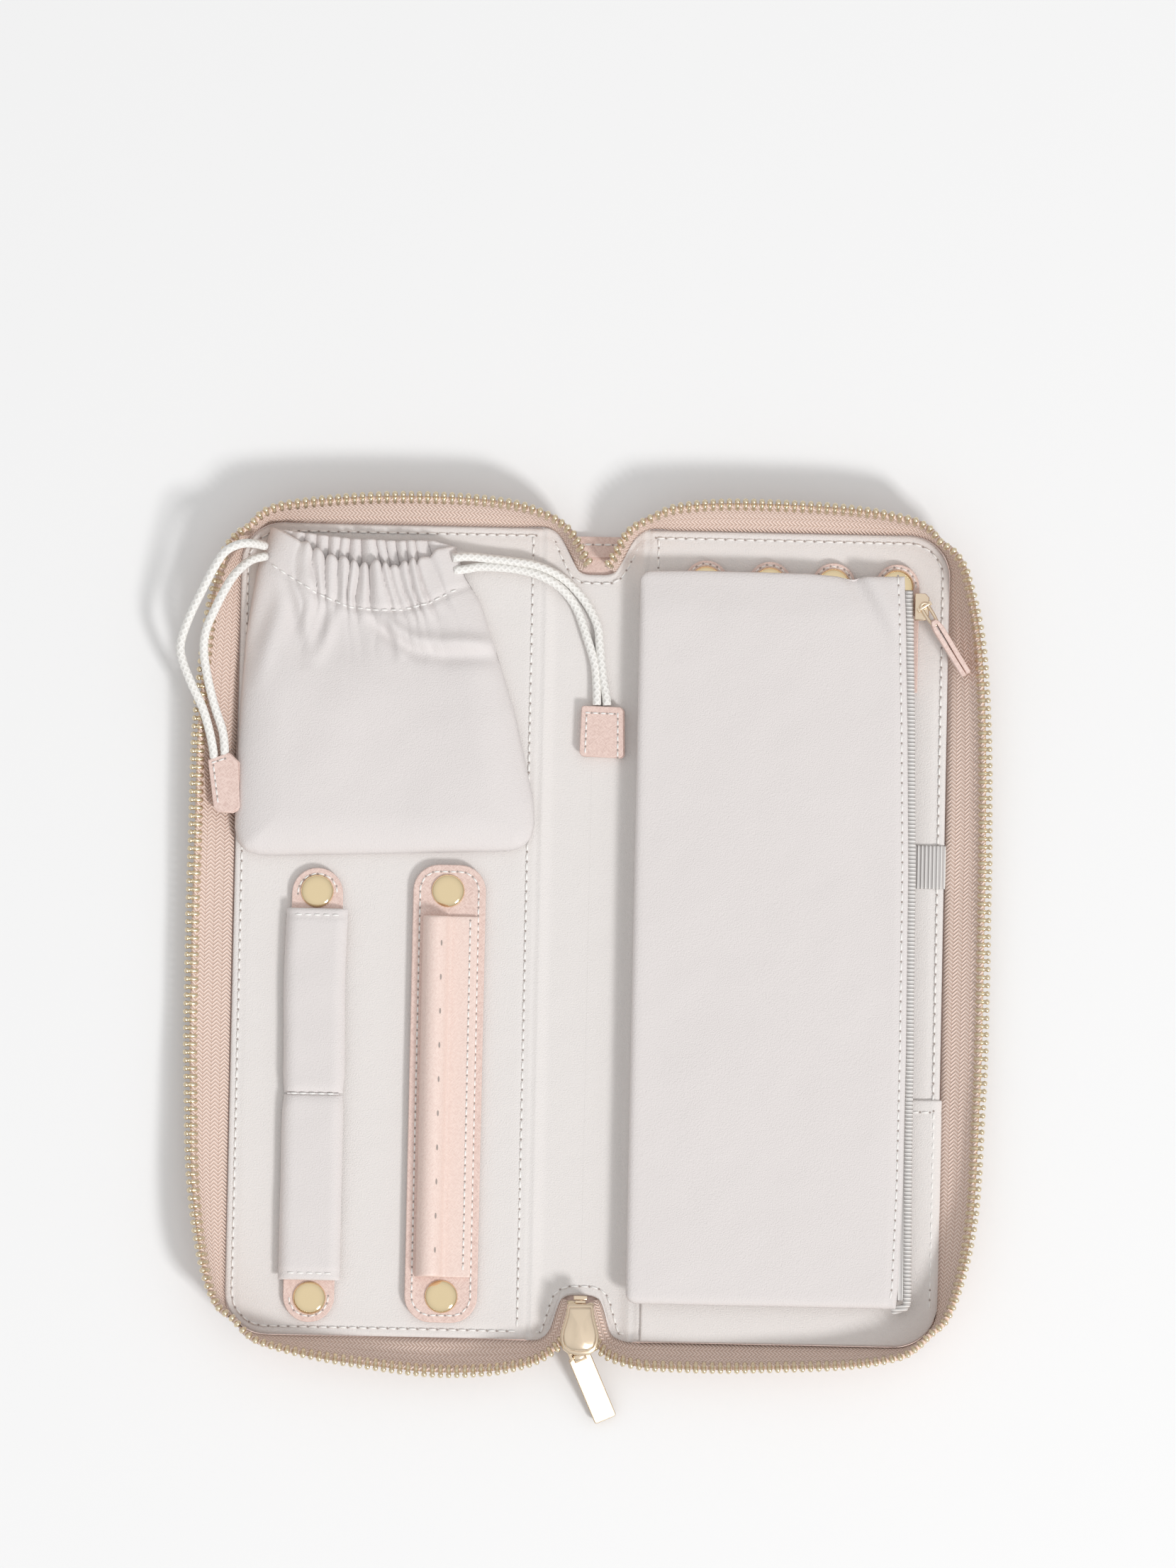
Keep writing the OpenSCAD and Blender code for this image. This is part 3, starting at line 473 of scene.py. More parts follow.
# Drawstrings, first of all
cords = {
    "radius": 1.25,
    "leftOuter": [(-93.5, 107.4, 9.0), (-96.6, 107.6, 14.2), (-100.2, 107.1, 17.4), (-104.2, 104.9, 18.4),
                  (-107.2, 100.6, 17.8), (-110.6, 94, 16.2), (-114.2, 86.3, 14.4), (-116.4, 79.3, 13.2),
                  (-115.9, 74.4, 12.8), (-113.3, 68, 12.2), (-110.1, 61.5, 10.8), (-108.0, 55, 9.4),
                  (-106.9, 50, 8.3), (-106.5, 47.2, 7.8)],
    "leftInner": [(-93.2, 104.6, 8.0), (-97.4, 103.0, 11.6), (-101.4, 99.0, 14.6), (-104.2, 94.4, 15.8),
                  (-107.0, 88.6, 15.6), (-109.3, 83.0, 14.6), (-109.9, 77.5, 13.0), (-109.0, 71.0, 11.4),
                  (-106.9, 62.6, 9.6), (-104.3, 55, 8.4), (-103.6, 50, 7.9), (-103.5, 47.2, 7.4)],
    "rightUpper": [(-40.5, 105.2, 8.2), (-36, 105.7, 7.2), (-30.8, 105.4, 6.4), (-25.3, 104.9, 6.2),
                   (-17.6, 103.9, 6.3), (-11.6, 101.7, 5.4), (-6.8, 98.4, 4.3), (-2.2, 93.1, 3.6),
                   (0.8, 87.2, 3.6), (1.6, 81.4, 3.6), (2.6, 73, 3.7), (3.7, 67.5, 3.9), (4.0, 64.6, 4.0)],
    "rightLower": [(-40.2, 101.6, 7.4), (-36.2, 102.3, 6.4), (-32.1, 103, 6.0), (-23, 102.6, 6.1),
                   (-15.5, 100.8, 6.1), (-9.6, 97.4, 5.0), (-5.2, 92, 3.7), (-2.1, 83.8, 3.6),
                   (0.2, 76.5, 3.6), (0.9, 70.5, 3.7), (1.1, 64.6, 4.0)],
}
cordLines = {name: curve(cords[name], 1.0) for name in ("leftOuter", "leftInner", "rightUpper", "rightLower")}
cordPieces = {name: tube(name + "Cord", line, cords["radius"], braid) for name, line in cordLines.items()}
for name, line in cordLines.items():
    print("cord", name, "is", round(lengthOf(line), 1), "mm long")


def tagPiece(name, corners, low, high):
    # A folded leather tag: two layers with a little of both edges showing.
    layer = (high - low) / 2
    upper = plate(name, corners, low + layer + 0.04, high, 0.28, trim)
    lower = plate(name + "Back", [(x + 0.45, y - 0.1) for x, y in corners], low, low + layer - 0.04, 0.25, trim)
    return joined(name, [upper, lower])


stitchShape = [(-1, 0.3, -0.6), (-0.75, 0.85, 0), (0, 1, 0.25), (0.75, 0.85, 0), (1, 0.3, -0.6)]


def stitches(name, line, body, pitch=2.8, length=2.0, radius=0.26, holes=True, slot="pale_velvet"):
    # Thread along a line of points in millimetres, with a flat dark disc of painted shade for the needle hole at
    # both ends of each stitch.
    points, faces, dots, dotFaces = [], [], [], []
    for place, ahead, gone in evenly([np.array(p, float) for p in line], pitch):
        side = unit(np.cross(ahead, (0, 0, 1)))
        up = np.cross(side, ahead)
        start = len(points)
        for along, scale, lift in stitchShape:
            middle = place + ahead * along * length / 2 + up * lift * radius
            points += [middle + radius * scale * (cos(a) * side * 1.15 + sin(a) * up) for a in turns(6)]
        faces += sleeve(start, 5, 6)
        # A flat dark disc painted as the shade inside the needle hole.
        if holes:
            centre = place + ahead * pitch / 2 + up * 0.03
            dotFaces.append(tuple(range(len(dots), len(dots) + 8)))
            dots += [centre + 0.3 * (cos(a) * side + sin(a) * ahead) for a in turns(8)]
    made = build(name, points, faces, thread)
    finishPiece(made, body, slot)
    if holes and dots:
        finishPiece(build(name + "Holes", dots, dotFaces, holeShade), body, slot)
    return made


tags = {
    "left": [(-108.2, 46.6), (-102.2, 48.8), (-99.6, 46.2), (-98.9, 33.2), (-101.2, 31.9), (-105.2, 32.0),
             (-106.3, 33.4)],
    "right": [(-2.7, 64.4), (7.8, 64.2), (8.6, 63.2), (8.9, 50.6), (8.1, 49.9), (-2.9, 50.2), (-3.5, 51.1),
              (-3.2, 63.8)],
}
leftTag = tagPiece("leftTag", tags["left"], 6.2, 8.9)
rightTag = tagPiece("rightTag", tags["right"], 2.5, 5.3)
finishPiece(leftTag, "pouch", "trim_leather", "left_tag")
finishPiece(rightTag, "tag_end", "trim_leather", "right_tag")
for name, body, z, line in (
        ("right", "tag_end", 5.33, [(-1.9, 50.6), (-1.7, 62.4), (7.1, 62.2), (7.3, 50.5)]),
        ("left", "pouch", 8.93, [(-105.0, 34.2), (-106.7, 45.9), (-102.6, 47.3)])):
    stitches(name + "TagStitches", [(x, y, z) for x, y in line], body, 2.2, 1.5, 0.22, slot="trim_leather")
for name, node in (("leftOuter", "left_cord_outer"), ("leftInner", "left_cord_inner")):
    finishPiece(cordPieces[name], "pouch", "cord", node)
for name, nodes in (("rightUpper", ["right_cord_upper", "right_cord_bends"]),
                    ("rightLower", ["right_cord_lower", "right_cord_ends"])):
    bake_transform(cordPieces[name])
    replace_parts(cordPieces[name], *nodes)
for name, farEnd, fitted in (("leftOuter", "fitting", [leftTag]), ("leftInner", "object", []),
                             ("rightUpper", "fitting", [rightTag]), ("rightLower", "object", [])):
    line = cordLines[name]
    tuple(float(c) * mm for c in line[0])
    round(lengthOf(line)) * mm
    [[float(c) * mm for c in p] for p in line]
    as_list(fitted)
print("drawstrings and tags made")

# Cover: two flat sheets of leatherette, one for each side
cover = {"edge": 100.5, "end": 115.0, "corner": 12.0, "spineEnd": 112.5, "thick": 0.9}
turnX, turnY = cover["edge"] - cover["corner"], cover["end"] - cover["corner"]  # middle of a tray's round corner


def trayEnd(x):
    # Half the length of a tray at distance x from the middle.
    past = x - turnX
    if past <= 0:
        return cover["end"]
    return turnY + sqrt(max(cover["corner"] ** 2 - past ** 2, 0))


def coverEnd(x):
    return cover["spineEnd"] + (trayEnd(x) - cover["spineEnd"]) * smooth(x, 9, 15)


def coverSheet(name, side):
    width, height = cover["edge"] + 0.3, 2 * cover["end"]
    made = softPatch(name, width, height, 1.2, 1.6,
                     lambda a, b: (side * a, coverEnd(min(a, cover["edge"])) * (2 * b / height - 1)),
                     lambda x, y, da, db:
                     0.05 + (cover["thick"] - 0.05) * rounded(min(db, max(width - abs(x), 0.02)), 1.0),
                     lambda x, y, da, db: 0.0, blush)
    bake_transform(made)
    return made


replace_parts(coverSheet("coverLeft", -1), "spine_cover", "left_cover")
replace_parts(coverSheet("coverRight", 1), "right_cover")
hems = {"inner": 106.7, "outer": 112.6, "low": 0.9, "high": 1.9}
for sign, name in ((1, "Top"), (-1, "Bottom")):
    outer, inner = sign * hems["outer"], sign * hems["inner"]
    hem = plate("hem" + name, [(-8.2, outer), (-6.2, inner), (6.4, inner), (8.4, outer)],
                hems["low"], hems["high"], 0.35, blush)
    finishPiece(hem, "spine", "cover_leather", *(["spine_hems"] if sign > 0 else []))
    stitches("hemStitches" + name, [(x, sign * 110.3, 1.93) for x in (-6.5, 6.7)], "spine",
             slot="cover_leather")
print("cover made")

# Wadding and boards inside
pads = {"low": 0.92, "high": 1.68, "start": 20.2, "wide": 75.0, "long": 220.0}
for side, body, node in ((-1, "left_half", "left_foam"), (1, "right_half", "right_foam")):
    pad = softPatch(node.replace("_f", "F"), pads["wide"], pads["long"], 0.6, 8.0,
                    lambda a, b: (side * (pads["start"] + a), b - pads["long"] / 2),
                    lambda x, y, da, db: pads["high"] - 0.2 + 0.2 * rounded(min(da, db), 0.6),
                    lambda x, y, da, db: pads["low"], wadding)
    finishPiece(pad, body, "padding", node)
felt = softPatch("spineFelt", 15.0, 196.0, 0.5, 8.0, lambda a, b: (a - 7.5, b - 98.0),
                 lambda x, y, da, db: 1.35 + 0.12 * rounded(min(da, db), 0.5),
                 lambda x, y, da, db: pads["low"], wadding)
finishPiece(felt, "spine", "padding", "spine_felt")
dress(board, "left_board", "right_board")

# Linings
linings = {"high": 3.4, "spineHigh": 2.3, "inside": 0.4, "thick": 0.75,
           "seam": 15.0, "seamStitch": 17.7, "endStitch": 112.4, "stitchTurn": 9.7, "stitchZ": 3.42}


def notchEdge(t, sign, side):
    # The lining's edge round a notch: from its outer end at t = 0 to the middle at t = 1.
    table = ([(15.0, 115.0), (13.2, 114.6), (11.2, 113.4), (9.4, 110.8), (7.6, 107.2), (6.0, 104.2),
              (4.8, 102.6), (3.0, 101.9), (0.4, 101.8)]
             if sign > 0 else
             [(15.0, 115.0), (11.5, 114.9), (9.2, 113.9), (8.0, 111.6), (7.0, 108.2), (5.9, 104.6),
              (4.8, 102.8), (3.0, 102.0), (0.0, 101.9)])
    line = curve([(x * side + (0.4 if sign > 0 else 0), y * sign, 0) for x, y in table], 0.5)
    return line[min(int(t * (len(line) - 1) + 0.5), len(line) - 1)]


def spineTable(sign):
    # The lining's end in the spine as a line of y over x.
    points = [notchEdge(i / 40, sign, side)[:2] for side in (-1, 1) for i in range(41)]
    return [(x, abs(y)) for x, y in sorted(tuple(p) for p in points)]


notchTop, notchLow = spineTable(1), spineTable(-1)


def liningEnd(x, side, sign):
    # Where the lining ends at distance x from the middle.
    tray = trayEnd(x + linings["inside"]) - linings["inside"]
    notch = between(notchTop if sign > 0 else notchLow, side * x)
    return notch if x < 14.2 else notch + (tray - notch) * smooth(x, 14.2, 15.4)


def liningSheet(name, side, body, *nodes):
    width, length = cover["edge"] - linings["inside"], 2 * cover["end"]

    def place(a, b):
        low, high = -liningEnd(a, side, -1), liningEnd(a, side, 1)
        return side * a, low + (high - low) * b / length

    def level(x):
        return linings["spineHigh"] + (linings["high"] - linings["spineHigh"]) * smooth(x, 10.5, 14.6)

    def top(x, y, da, db):
        outer = width - abs(x)
        near = min(outer, db)
        wave = 0.13 * ripple(x, y, 22, 1.0) + 0.06 * ripple(x, y, 7, 4.0)
        dip = 0.22 * exp(-((near - 2.4) / 0.9) ** 2)
        seam = 0.55 * exp(-((abs(x) - linings["seam"]) / 0.35) ** 2)
        seam += 0.12 * exp(-((abs(x) - linings["seamStitch"]) / 0.7) ** 2)
        return level(abs(x)) - 0.7 + 0.7 * rounded(near, 1.3) + wave * smooth(near, 1, 8) - dip - seam

    made = softPatch(name, width, length, 1.4, 0.75, place, top,
                     lambda x, y, da, db: level(abs(x)) - linings["thick"], velvet)
    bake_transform(made)
    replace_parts(made, *nodes)
    seam, z, round_ = linings["seamStitch"], linings["stitchZ"], linings["stitchTurn"]
    turn = turnY - linings["inside"]
    path = ([(seam, -linings["endStitch"])] + arc((turnX, -turn), round_, -90, 0, 8)
            + arc((turnX, turn), round_, 0, 90, 8) + [(seam, linings["endStitch"])])
    stitches(name + "Stitches", [(side * x, y, z) for x, y in path], body, slot="velvet")
    stitches(name + "SeamStitches", [(side * seam, -111.6, z), (side * seam, 111.8, z)], body, slot="velvet")
    return made


liningSheet("leftLining", -1, "left_half", "spine_lining", "left_lining")
liningSheet("rightLining", 1, "right_half", "right_lining")
for sign, name in ((1, "Top"), (-1, "Bottom")):
    edge = [notchEdge(i / 30, sign, -1) for i in range(31)]
    edge += [notchEdge(1 - i / 30, sign, 1) for i in range(31)]
    outside = []
    for i, p in enumerate(edge):
        ahead = edge[min(i + 1, len(edge) - 1)] - edge[max(i - 1, 0)]
        q = p + unit(np.array([ahead[1], -ahead[0], 0])) * sign * 2.5
        if abs(q[0]) < 14.2:
            outside.append((q[0], q[1], 2.36))
    stitches("notchStitches" + name, outside, "spine", slot="velvet")
print("linings made")

# Main zip: one tape and one row of teeth on each side
zipper = {"free": 13.4, "foot": 0.1, "footZ": 2.9, "tape": 11.6, "thick": 0.4, "pitch": 2.3, "start": 15.5}
straight, bend, run = turnX - zipper["start"], pi / 2 * cover["corner"], 2 * turnY  # along a tray's edge
topTips = {1: [(2.6, 103.6, 9.2), (5.0, 107.3, 10.2), (6.4, 109.8, 11.2), (8.3, 113.0, 12.4),
               (10.9, 115.2, 13.4), (14.6, 117.1, 14.4)],
           -1: [(-1.1, 104.1, 9.2), (-2.4, 106.2, 9.8), (-3.6, 108.0, 10.5), (-6.1, 112.3, 12.2),
                (-9.6, 115.4, 13.4), (-13.5, 117.6, 14.4)]}
topFeet = {1: [(5.4, 102.6), (6.6, 104.6), (7.8, 107.0), (9.4, 110.4), (11.4, 113.2), (15.0, 115.2)],
           -1: [(-4.4, 102.6), (-5.2, 104.0), (-6.2, 106.4), (-8.4, 110.4), (-10.6, 113.4), (-14.2, 115.2)]}
lowTips = {1: [(17.4, -122.0, 13.6), (12.9, -121.1, 12.8), (8.4, -119.7, 11.6), (5.9, -118.0, 10.5),
               (4.0, -116.0, 9.6), (2.3, -112.6, 9.3), (1.7, -108.0, 9.3), (1.5, -104.6, 9.3)],
           -1: [(-15.6, -122.4, 13.6), (-11.1, -120.6, 12.6), (-6.8, -117.9, 11.2), (-4.6, -116.0, 10.0),
                (-3.4, -114.0, 9.5), (-2.2, -111.6, 9.3), (-1.7, -108.0, 9.3), (-1.5, -104.6, 9.3)]}
lowFeet = {1: [(16.0, -115.2), (12.6, -115.0), (9.6, -113.8), (8.2, -112.0), (7.4, -109.6), (6.6, -106.8),
               (5.8, -104.6), (5.0, -103.0)],
           -1: [(-15.6, -115.2), (-11.8, -115.0), (-9.4, -113.6), (-8.2, -111.8), (-7.4, -109.6),
                (-6.6, -106.8), (-5.8, -104.6), (-5.0, -103.0)]}


def leanOut(distance, x, side):
    # How far the teeth stand outside the lining at a distance along the tray's edge.
    first, second = straight + bend / 2, straight + 1.5 * bend + run
    corners = {1: (0.3, 0.2), -1: (1.3, -1.3)}[side]
    fold = exp(-(abs(x) - 15) / 12)
    if distance < first:
        gone = 1 - exp(-(first - distance) / 20)
        return corners[0] * (1 - gone) + 8.8 * gone - 5.2 * fold
    if distance > second:
        gone = 1 - exp(-(distance - second) / 20)
        hump = 1.9 * exp(-((x + 40) / 22) ** 2) if side < 0 else 0
        lean, pinch = (9.4, 1.5) if side < 0 else (8.2, 0.8)
        return corners[1] * (1 - gone) + lean * gone - pinch * fold + hump
    one, two = 1 - exp(-(distance - first) / 22), 1 - exp(-(second - distance) / 22)
    return corners[0] * (1 - one) + corners[1] * (1 - two) + 12.9 * one * two


def zipStations(side):
    # Foot and tip of the zip's wall from the top notch round the tray to the bottom notch.
    stations = [np.array([fx, fy, zipper["footZ"] - 1.2 + 0.2 * i, tx, ty, tz])
                for i, ((fx, fy), (tx, ty, tz)) in enumerate(zip(topFeet[side], topTips[side]))]
    total = 2 * straight + 2 * bend + run
    reach, gone = zipper["free"], 6.0
    while gone < total - 5:
        if gone < straight:
            x, y, n = zipper["start"] + gone, cover["end"], (0, 1)
        elif gone < straight + bend:
            turn = radians(90 - (gone - straight) / cover["corner"] * 180 / pi)
            n = (cos(turn), sin(turn))
            x, y = turnX + cover["corner"] * n[0], turnY + cover["corner"] * n[1]
        elif gone < straight + bend + run:
            x, y, n = cover["edge"], turnY - (gone - straight - bend), (1, 0)
        elif gone < straight + 2 * bend + run:
            turn = -(gone - straight - bend - run) / cover["corner"]
            n = (cos(turn), sin(turn))
            x, y = turnX + cover["corner"] * n[0], cover["corner"] * n[1] - turnY
        else:
            x, y, n = turnX - (gone - straight - 2 * bend - run), -cover["end"], (0, -1)
        lean = leanOut(gone, side * x, side) + 0.35 * ripple(gone, 0, 26, 5.0 + side)
        lean = min(max(lean, -3), reach - 0.6)
        fx, fy = x + n[0] * zipper["foot"], y + n[1] * zipper["foot"]
        out = lean - zipper["foot"]
        stations.append(np.array([side * fx, fy, zipper["footZ"], side * (fx + n[0] * out), fy + n[1] * out,
                                  zipper["footZ"] + sqrt(reach ** 2 - out ** 2)]))
        gone += 4.0
    stations += [np.array([fx, fy, zipper["footZ"] - 0.1 * i, tx, ty, tz])
                 for i, ((fx, fy), (tx, ty, tz)) in enumerate(zip(lowFeet[side], lowTips[side]))]
    return stations


def zipSide(side, name):
    stations = curve(zipStations(side), 1.5)
    rings, uvs, gone = [], [], 0.0
    tips = []
    for i, s in enumerate(stations):
        foot, tip = s[:3], s[3:]
        along = (stations[min(i + 1, len(stations) - 1)] - stations[max(i - 1, 0)])[3:]
        full, across = np.linalg.norm(tip - foot), unit(tip - foot)
        face = unit(np.cross(unit(along), across))
        if face[2] < 0:
            face = -face
        wide = min(zipper["tape"], full - 1.4)
        if i:
            gone += float(np.linalg.norm((foot + tip - stations[i - 1][:3] - stations[i - 1][3:]) / 2))
        sag = 0.25 * sin(gone / 17.0) - 0.7
        upper = [(0, 1), (0.16, 1), (0.33, 1), (0.5, 1), (0.66, 1), (0.84, 1), (0.91, 1.9), (0.96, 2.1),
                 (1.0, 1.2)]
        section = upper + [(part, -thick) for part, thick in reversed(upper)]
        ring = []
        for part, thick in section:
            swell = sag * sin(pi * part)
            ring.append(foot + across * wide * part + face * (thick * zipper["thick"] + swell))
            uvs.append((gone * mm, part * wide * mm))
        rings.append(ring)
        tips.append(np.concatenate([foot + across * (wide + 0.2), across, face]))
    tape = loft(name + "ZipTape", rings, tapeCloth, uvs)
    points, faces = [], []
    template = [(-2.1, 0.50, 0.85), (-1.8, 0.72, 1.1), (-0.3, 0.72, 1.1), (0.25, 0.6, 0.95),
                (0.5, 0.48, 0.65), (0.85, 0.62, 0.75), (1.25, 0.76, 0.85), (1.65, 0.62, 0.7), (1.9, 0.25, 0.3)]
    for place, ahead, gone in evenly(tips, zipper["pitch"]):
        centre, across, face = place[:3], unit(place[3:6]), unit(place[6:9])
        along = np.cross(across, face)
        start = len(points)
        for reach, half, deep in template:
            points += [centre + across * reach + 1.08 * (along * half * cos(a) + face * deep * sin(a))
                       for a in turns(8, 0.5)]
        faces += sleeve(start, len(template), 8)
    teeth = build(name + "ZipTeeth", points, faces, teethGold)
    half = "left_half" if side < 0 else "right_half"
    for piece, slot in ((tape, "zip_tape"), (teeth, "zip_teeth")):
        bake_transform(piece)
    return tape, teeth


leftTape, leftTeeth = zipSide(-1, "left")
rightTape, rightTeeth = zipSide(1, "right")
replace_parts(leftTape, "left_tape", "left_tape_folds", "spine_tape_left")
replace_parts(rightTape, "right_tape", "right_tape_folds", "spine_tape_right")
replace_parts(leftTeeth, "left_teeth", "spine_teeth")
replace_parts(rightTeeth, "right_teeth")
print("main zip made")


# Main slider and pull
slider = {"top": -104.4, "middle": -6.8, "pin": (0, -119.1, 9.2), "yaw": 24, "drop": 21}


def shieldLine(scale):
    # The slider's outline: narrow and square at its upper end, broad and pointed at its lower one.
    right = [(3.4, 0.0), (3.7, -0.5), (3.9, -2.5), (4.5, -5.0), (5.2, -7.4), (5.5, -9.2), (5.3, -11.2),
             (4.6, -13.0), (2.9, -14.2), (0, -14.6)]
    both = right + [(-x, y) for x, y in reversed(right[:-1])]
    middle = slider["middle"]
    return [(x * scale, slider["top"] + middle + (y - middle) * scale) for x, y in both]


def shieldPlate(name, low, high, scale, ridge):
    levels = [(0.90, low), (1.0, low + 0.3), (1.0, high - 0.5), (0.96, high - 0.15), (0.86, high + 0.05),
              (0.6, high + 0.2), (0.3, high + 0.3), (0.04, high + 0.35)]
    rings = []
    for part, z in levels:
        ring = []
        for x, y in shieldLine(scale * part):
            lift = ridge * max(0, 1 - abs(x) / 2.6) if z > high else 0
            ring.append((x, y, z + lift))
        rings.append(ring)
    return loft(name, rings, gold)


lower = shieldPlate("sliderLower", 6.8, 7.9, 0.93, 0)
upper = shieldPlate("sliderUpper", 10.4, 11.5, 1.0, 0)
shield = shieldPlate("sliderShield", 11.45, 12.3, 0.86, 0.8)
neck = plate("sliderNeck", arc((0, -112.2), 1.6, 0, 345, 23), 7.5, 11.4, 0.2, gold)
turn = Matrix.Translation(Vector(slider["pin"])) @ Matrix.Rotation(radians(slider["yaw"]), 4, "Z")
earLine = [(-0.4, -0.5), (0.4, -0.5), (0.4, 3.4), (-0.4, 3.4)]
ears = [plate("sliderEar" + str(k), [(k * 2.3 + x, y) for x, y in earLine], -0.9, 1.9, 0.2, gold, turn)
        for k in (-1, 1)]
pin = plate("sliderPin", arc((0, 0), 0.6, 0, 340, 17), -2.5, 2.5, 0.1, gold,
            turn @ Matrix.Rotation(pi / 2, 4, "Y"))
finishPiece(joined("mainSlider", [upper, lower, shield, neck, *ears, pin]), "spine", "gold_metal",
            "main_slider")
stopper = [plate("zipBox" + name, [(-w, low), (w, low), (w, high), (-w, high)], z, top, 0.3, gold)
           for name, w, low, high, z, top in (("Low", 1.9, -103.3, -102.1, 8.3, 10.1),
                                              ("High", 1.5, -104.3, -103.4, 8.4, 10.0))]
finishPiece(joined("zipBox", stopper), "spine", "zip_teeth", "zip_box")

pull = {"long": 20.4, "wide": 6.5, "thick": 2.0}
lean = turn @ Matrix.Rotation(radians(slider["drop"]), 4, "X")
halfWide, end = pull["wide"] / 2, -pull["long"]
pullLine = ([(1.6, -0.9), (1.6, 0.7), (halfWide - 1.1, 0.7), (halfWide, -0.3)]
            + arc((halfWide - 0.7, end + 0.7), 0.7, 0, -90, 4)
            + arc((0.7 - halfWide, end + 0.7), 0.7, -90, -180, 4)
            + [(-halfWide, -0.3), (1.1 - halfWide, 0.7), (-1.6, 0.7), (-1.6, -0.9)])
pullBar = plate("pullBar", pullLine, -pull["thick"] / 2, pull["thick"] / 2, 0.28, pullGold, lean)
eyeSection = [(-1.6, 1.3), (-1.4, 1.5), (1.4, 1.5), (1.6, 1.3), (1.6, 0.75), (-1.6, 0.75), (-1.6, 1.3)]
eyeRings = [[tuple(lean @ Vector((x, r * cos(a), r * sin(a)))) for a in turns(24)]
            for x, r in eyeSection]
eye = loft("pullEye", eyeRings, gold, caps=False)
finishPiece(joined("mainPull", [pullBar, eye]), "main_pull", "gold_metal", "main_pull")
print("slider and pull made")


# Snaps and leather
def snapCap(name, x, y, z, stem):
    # A domed cap on leather whose top is at z, with its socket below.
    profile = [(0.01, 1.55), (1.2, 1.5), (2.4, 1.32), (3.3, 1.08), (4.0, 0.86), (4.4, 0.62), (4.62, 0.3),
               (4.6, 0.05), (4.3, 0.0), (2.9, -0.02), (2.9, stem), (1.75, stem), (1.75, stem + 0.8),
               (0.01, stem + 0.8)]
    rings = [[(x + r * cos(a), y + r * sin(a), z + h) for a in turns(40)] for r, h in profile]
    return loft(name, rings, capGold)


leatherZ, leatherTop, baseTop = 4.3, 5.3, 5.9  # under the leather, on a tab, on the earring bar's base
ring = {"x": -76.5, "wide": 17.3, "middle": -46.8, "z": 5.35, "thick": 2.7}


def padStrap(name, low, high, body, node):
    # One half of the padded strap; its inner end meets the other half in a stitched groove.
    length = high - low
    seam = low if low > -60 else high

    def place(a, b):
        y = low + b
        across = a / ring["wide"] - 0.5
        wide = ring["wide"] * (1 - 0.05 * exp(-((y - seam) / 3.0) ** 2) + 0.02 * ripple(y, 0, 13, 3.0))
        return ring["x"] + 0.5 * ripple(y, 0, 30, 9.0) + across * wide, y

    def heights(x, y, da, db):
        puff = rounded(da, 3.4) * (0.62 + 0.38 * rounded(db, 3.0))
        outer = abs(y - (high if seam == low else low))
        dimple = 0.5 * exp(-((outer - 2.1) / 0.8) ** 2)
        return ring["thick"] * (puff - 0.3 * dimple) + 0.22 * ripple(x, y, 11, 2.0) * rounded(da, 3)

    made = softPatch(name, ring["wide"], length, 3.0, 0.8, place,
                     lambda x, y, da, db: ring["z"] + max(heights(x, y, da, db), 0.45),
                     lambda x, y, da, db: ring["z"] + 0.3 - 0.3 * rounded(min(da, db), 1.5), paleVelvet)
    finishPiece(made, body, "pale_velvet", node)
    return made


padStrap("ringStrapUpper", -46.52, 5.5, "ring_upper", "ring_strap_upper")
padStrap("ringStrapLower", -99.2, -47.08, "ring_lower", "ring_strap_lower")
anchor = softPatch("ringAnchor", 14.6, 0.5, 0.2, 0.5,
                   lambda a, b: (ring["x"] - 7.3 + a, ring["middle"] - 0.25 + b),
                   lambda x, y, da, db: 7.3 + 0.25 * rounded(min(da, db), 0.5),
                   lambda x, y, da, db: 3.4, paleVelvet)
finishPiece(anchor, "left_half", "pale_velvet", "ring_anchor")
stitches("ringAnchorStitches", [(-83.2, -46.8, 7.7), (-70.0, -46.8, 7.7)], "left_half", 2.6, 1.9, 0.26,
         holes=False)


def tabOutline(x, half, end, square, sign):
    # A strip with a round end at end and a square one at square.
    first = 0 if sign > 0 else 180
    return (arc((x, end - sign * half), half, first, first + 180, 16)
            + [(x - sign * half, square), (x + sign * half, square)])


for name, sign, end, square, capAt, body in (("Upper", 1, 17.0, -9.6, (-76.6, 10.4), "ring_upper"),
                                            ("Lower", -1, -111.0, -84.2, (-76.3, -104.2), "ring_lower")):
    outline = tabOutline(ring["x"], 7.2, end, square, sign)
    tab = plate("ringTab" + name, outline, leatherZ, leatherTop, 0.22, trim)
    finishPiece(tab, body, "trim_leather", "ring_tab_" + name.lower())
    cap = snapCap("ringCap" + name, capAt[0], capAt[1], leatherTop, -1.4)
    finishPiece(cap, body, "gold_metal", "ring_cap_" + name.lower())
    inner = insetLine(outline, 1.7)
    path = [(p[0], p[1], 5.32) for p in inner[:17] if (p[1] - (5.8 if sign > 0 else -99.6)) * sign > 0]
    stitches("ringTabStitches" + name, path, body, 2.2, 1.5, 0.22, slot="trim_leather")
    y = 5.5 - 1.9 if sign > 0 else 1.9 - 99.2
    stitches("ringEndStitches" + name, [(-82.9, y, 7.75), (-70.2, y, 7.75)], body, 2.6, 1.8, 0.25, holes=False)

# Earring bar
bar = {"x": -39.3, "wide": 20.5, "low": -110.4, "high": 18.6, "corner": 7.4, "rollLow": -97.6, "rollHigh": 4.0}
half, corner = bar["wide"] / 2, bar["corner"]
left = bar["x"] - half


def barOutline(inset):
    across, high, low = half - corner, bar["high"] - corner, bar["low"] + corner
    centres = ((across, high), (-across, high), (-across, low), (across, low))
    return [p for i, (x, y) in enumerate(centres)
            for p in arc((bar["x"] + x, y), corner - inset, 90 * i, 90 * i + 90, 8)]


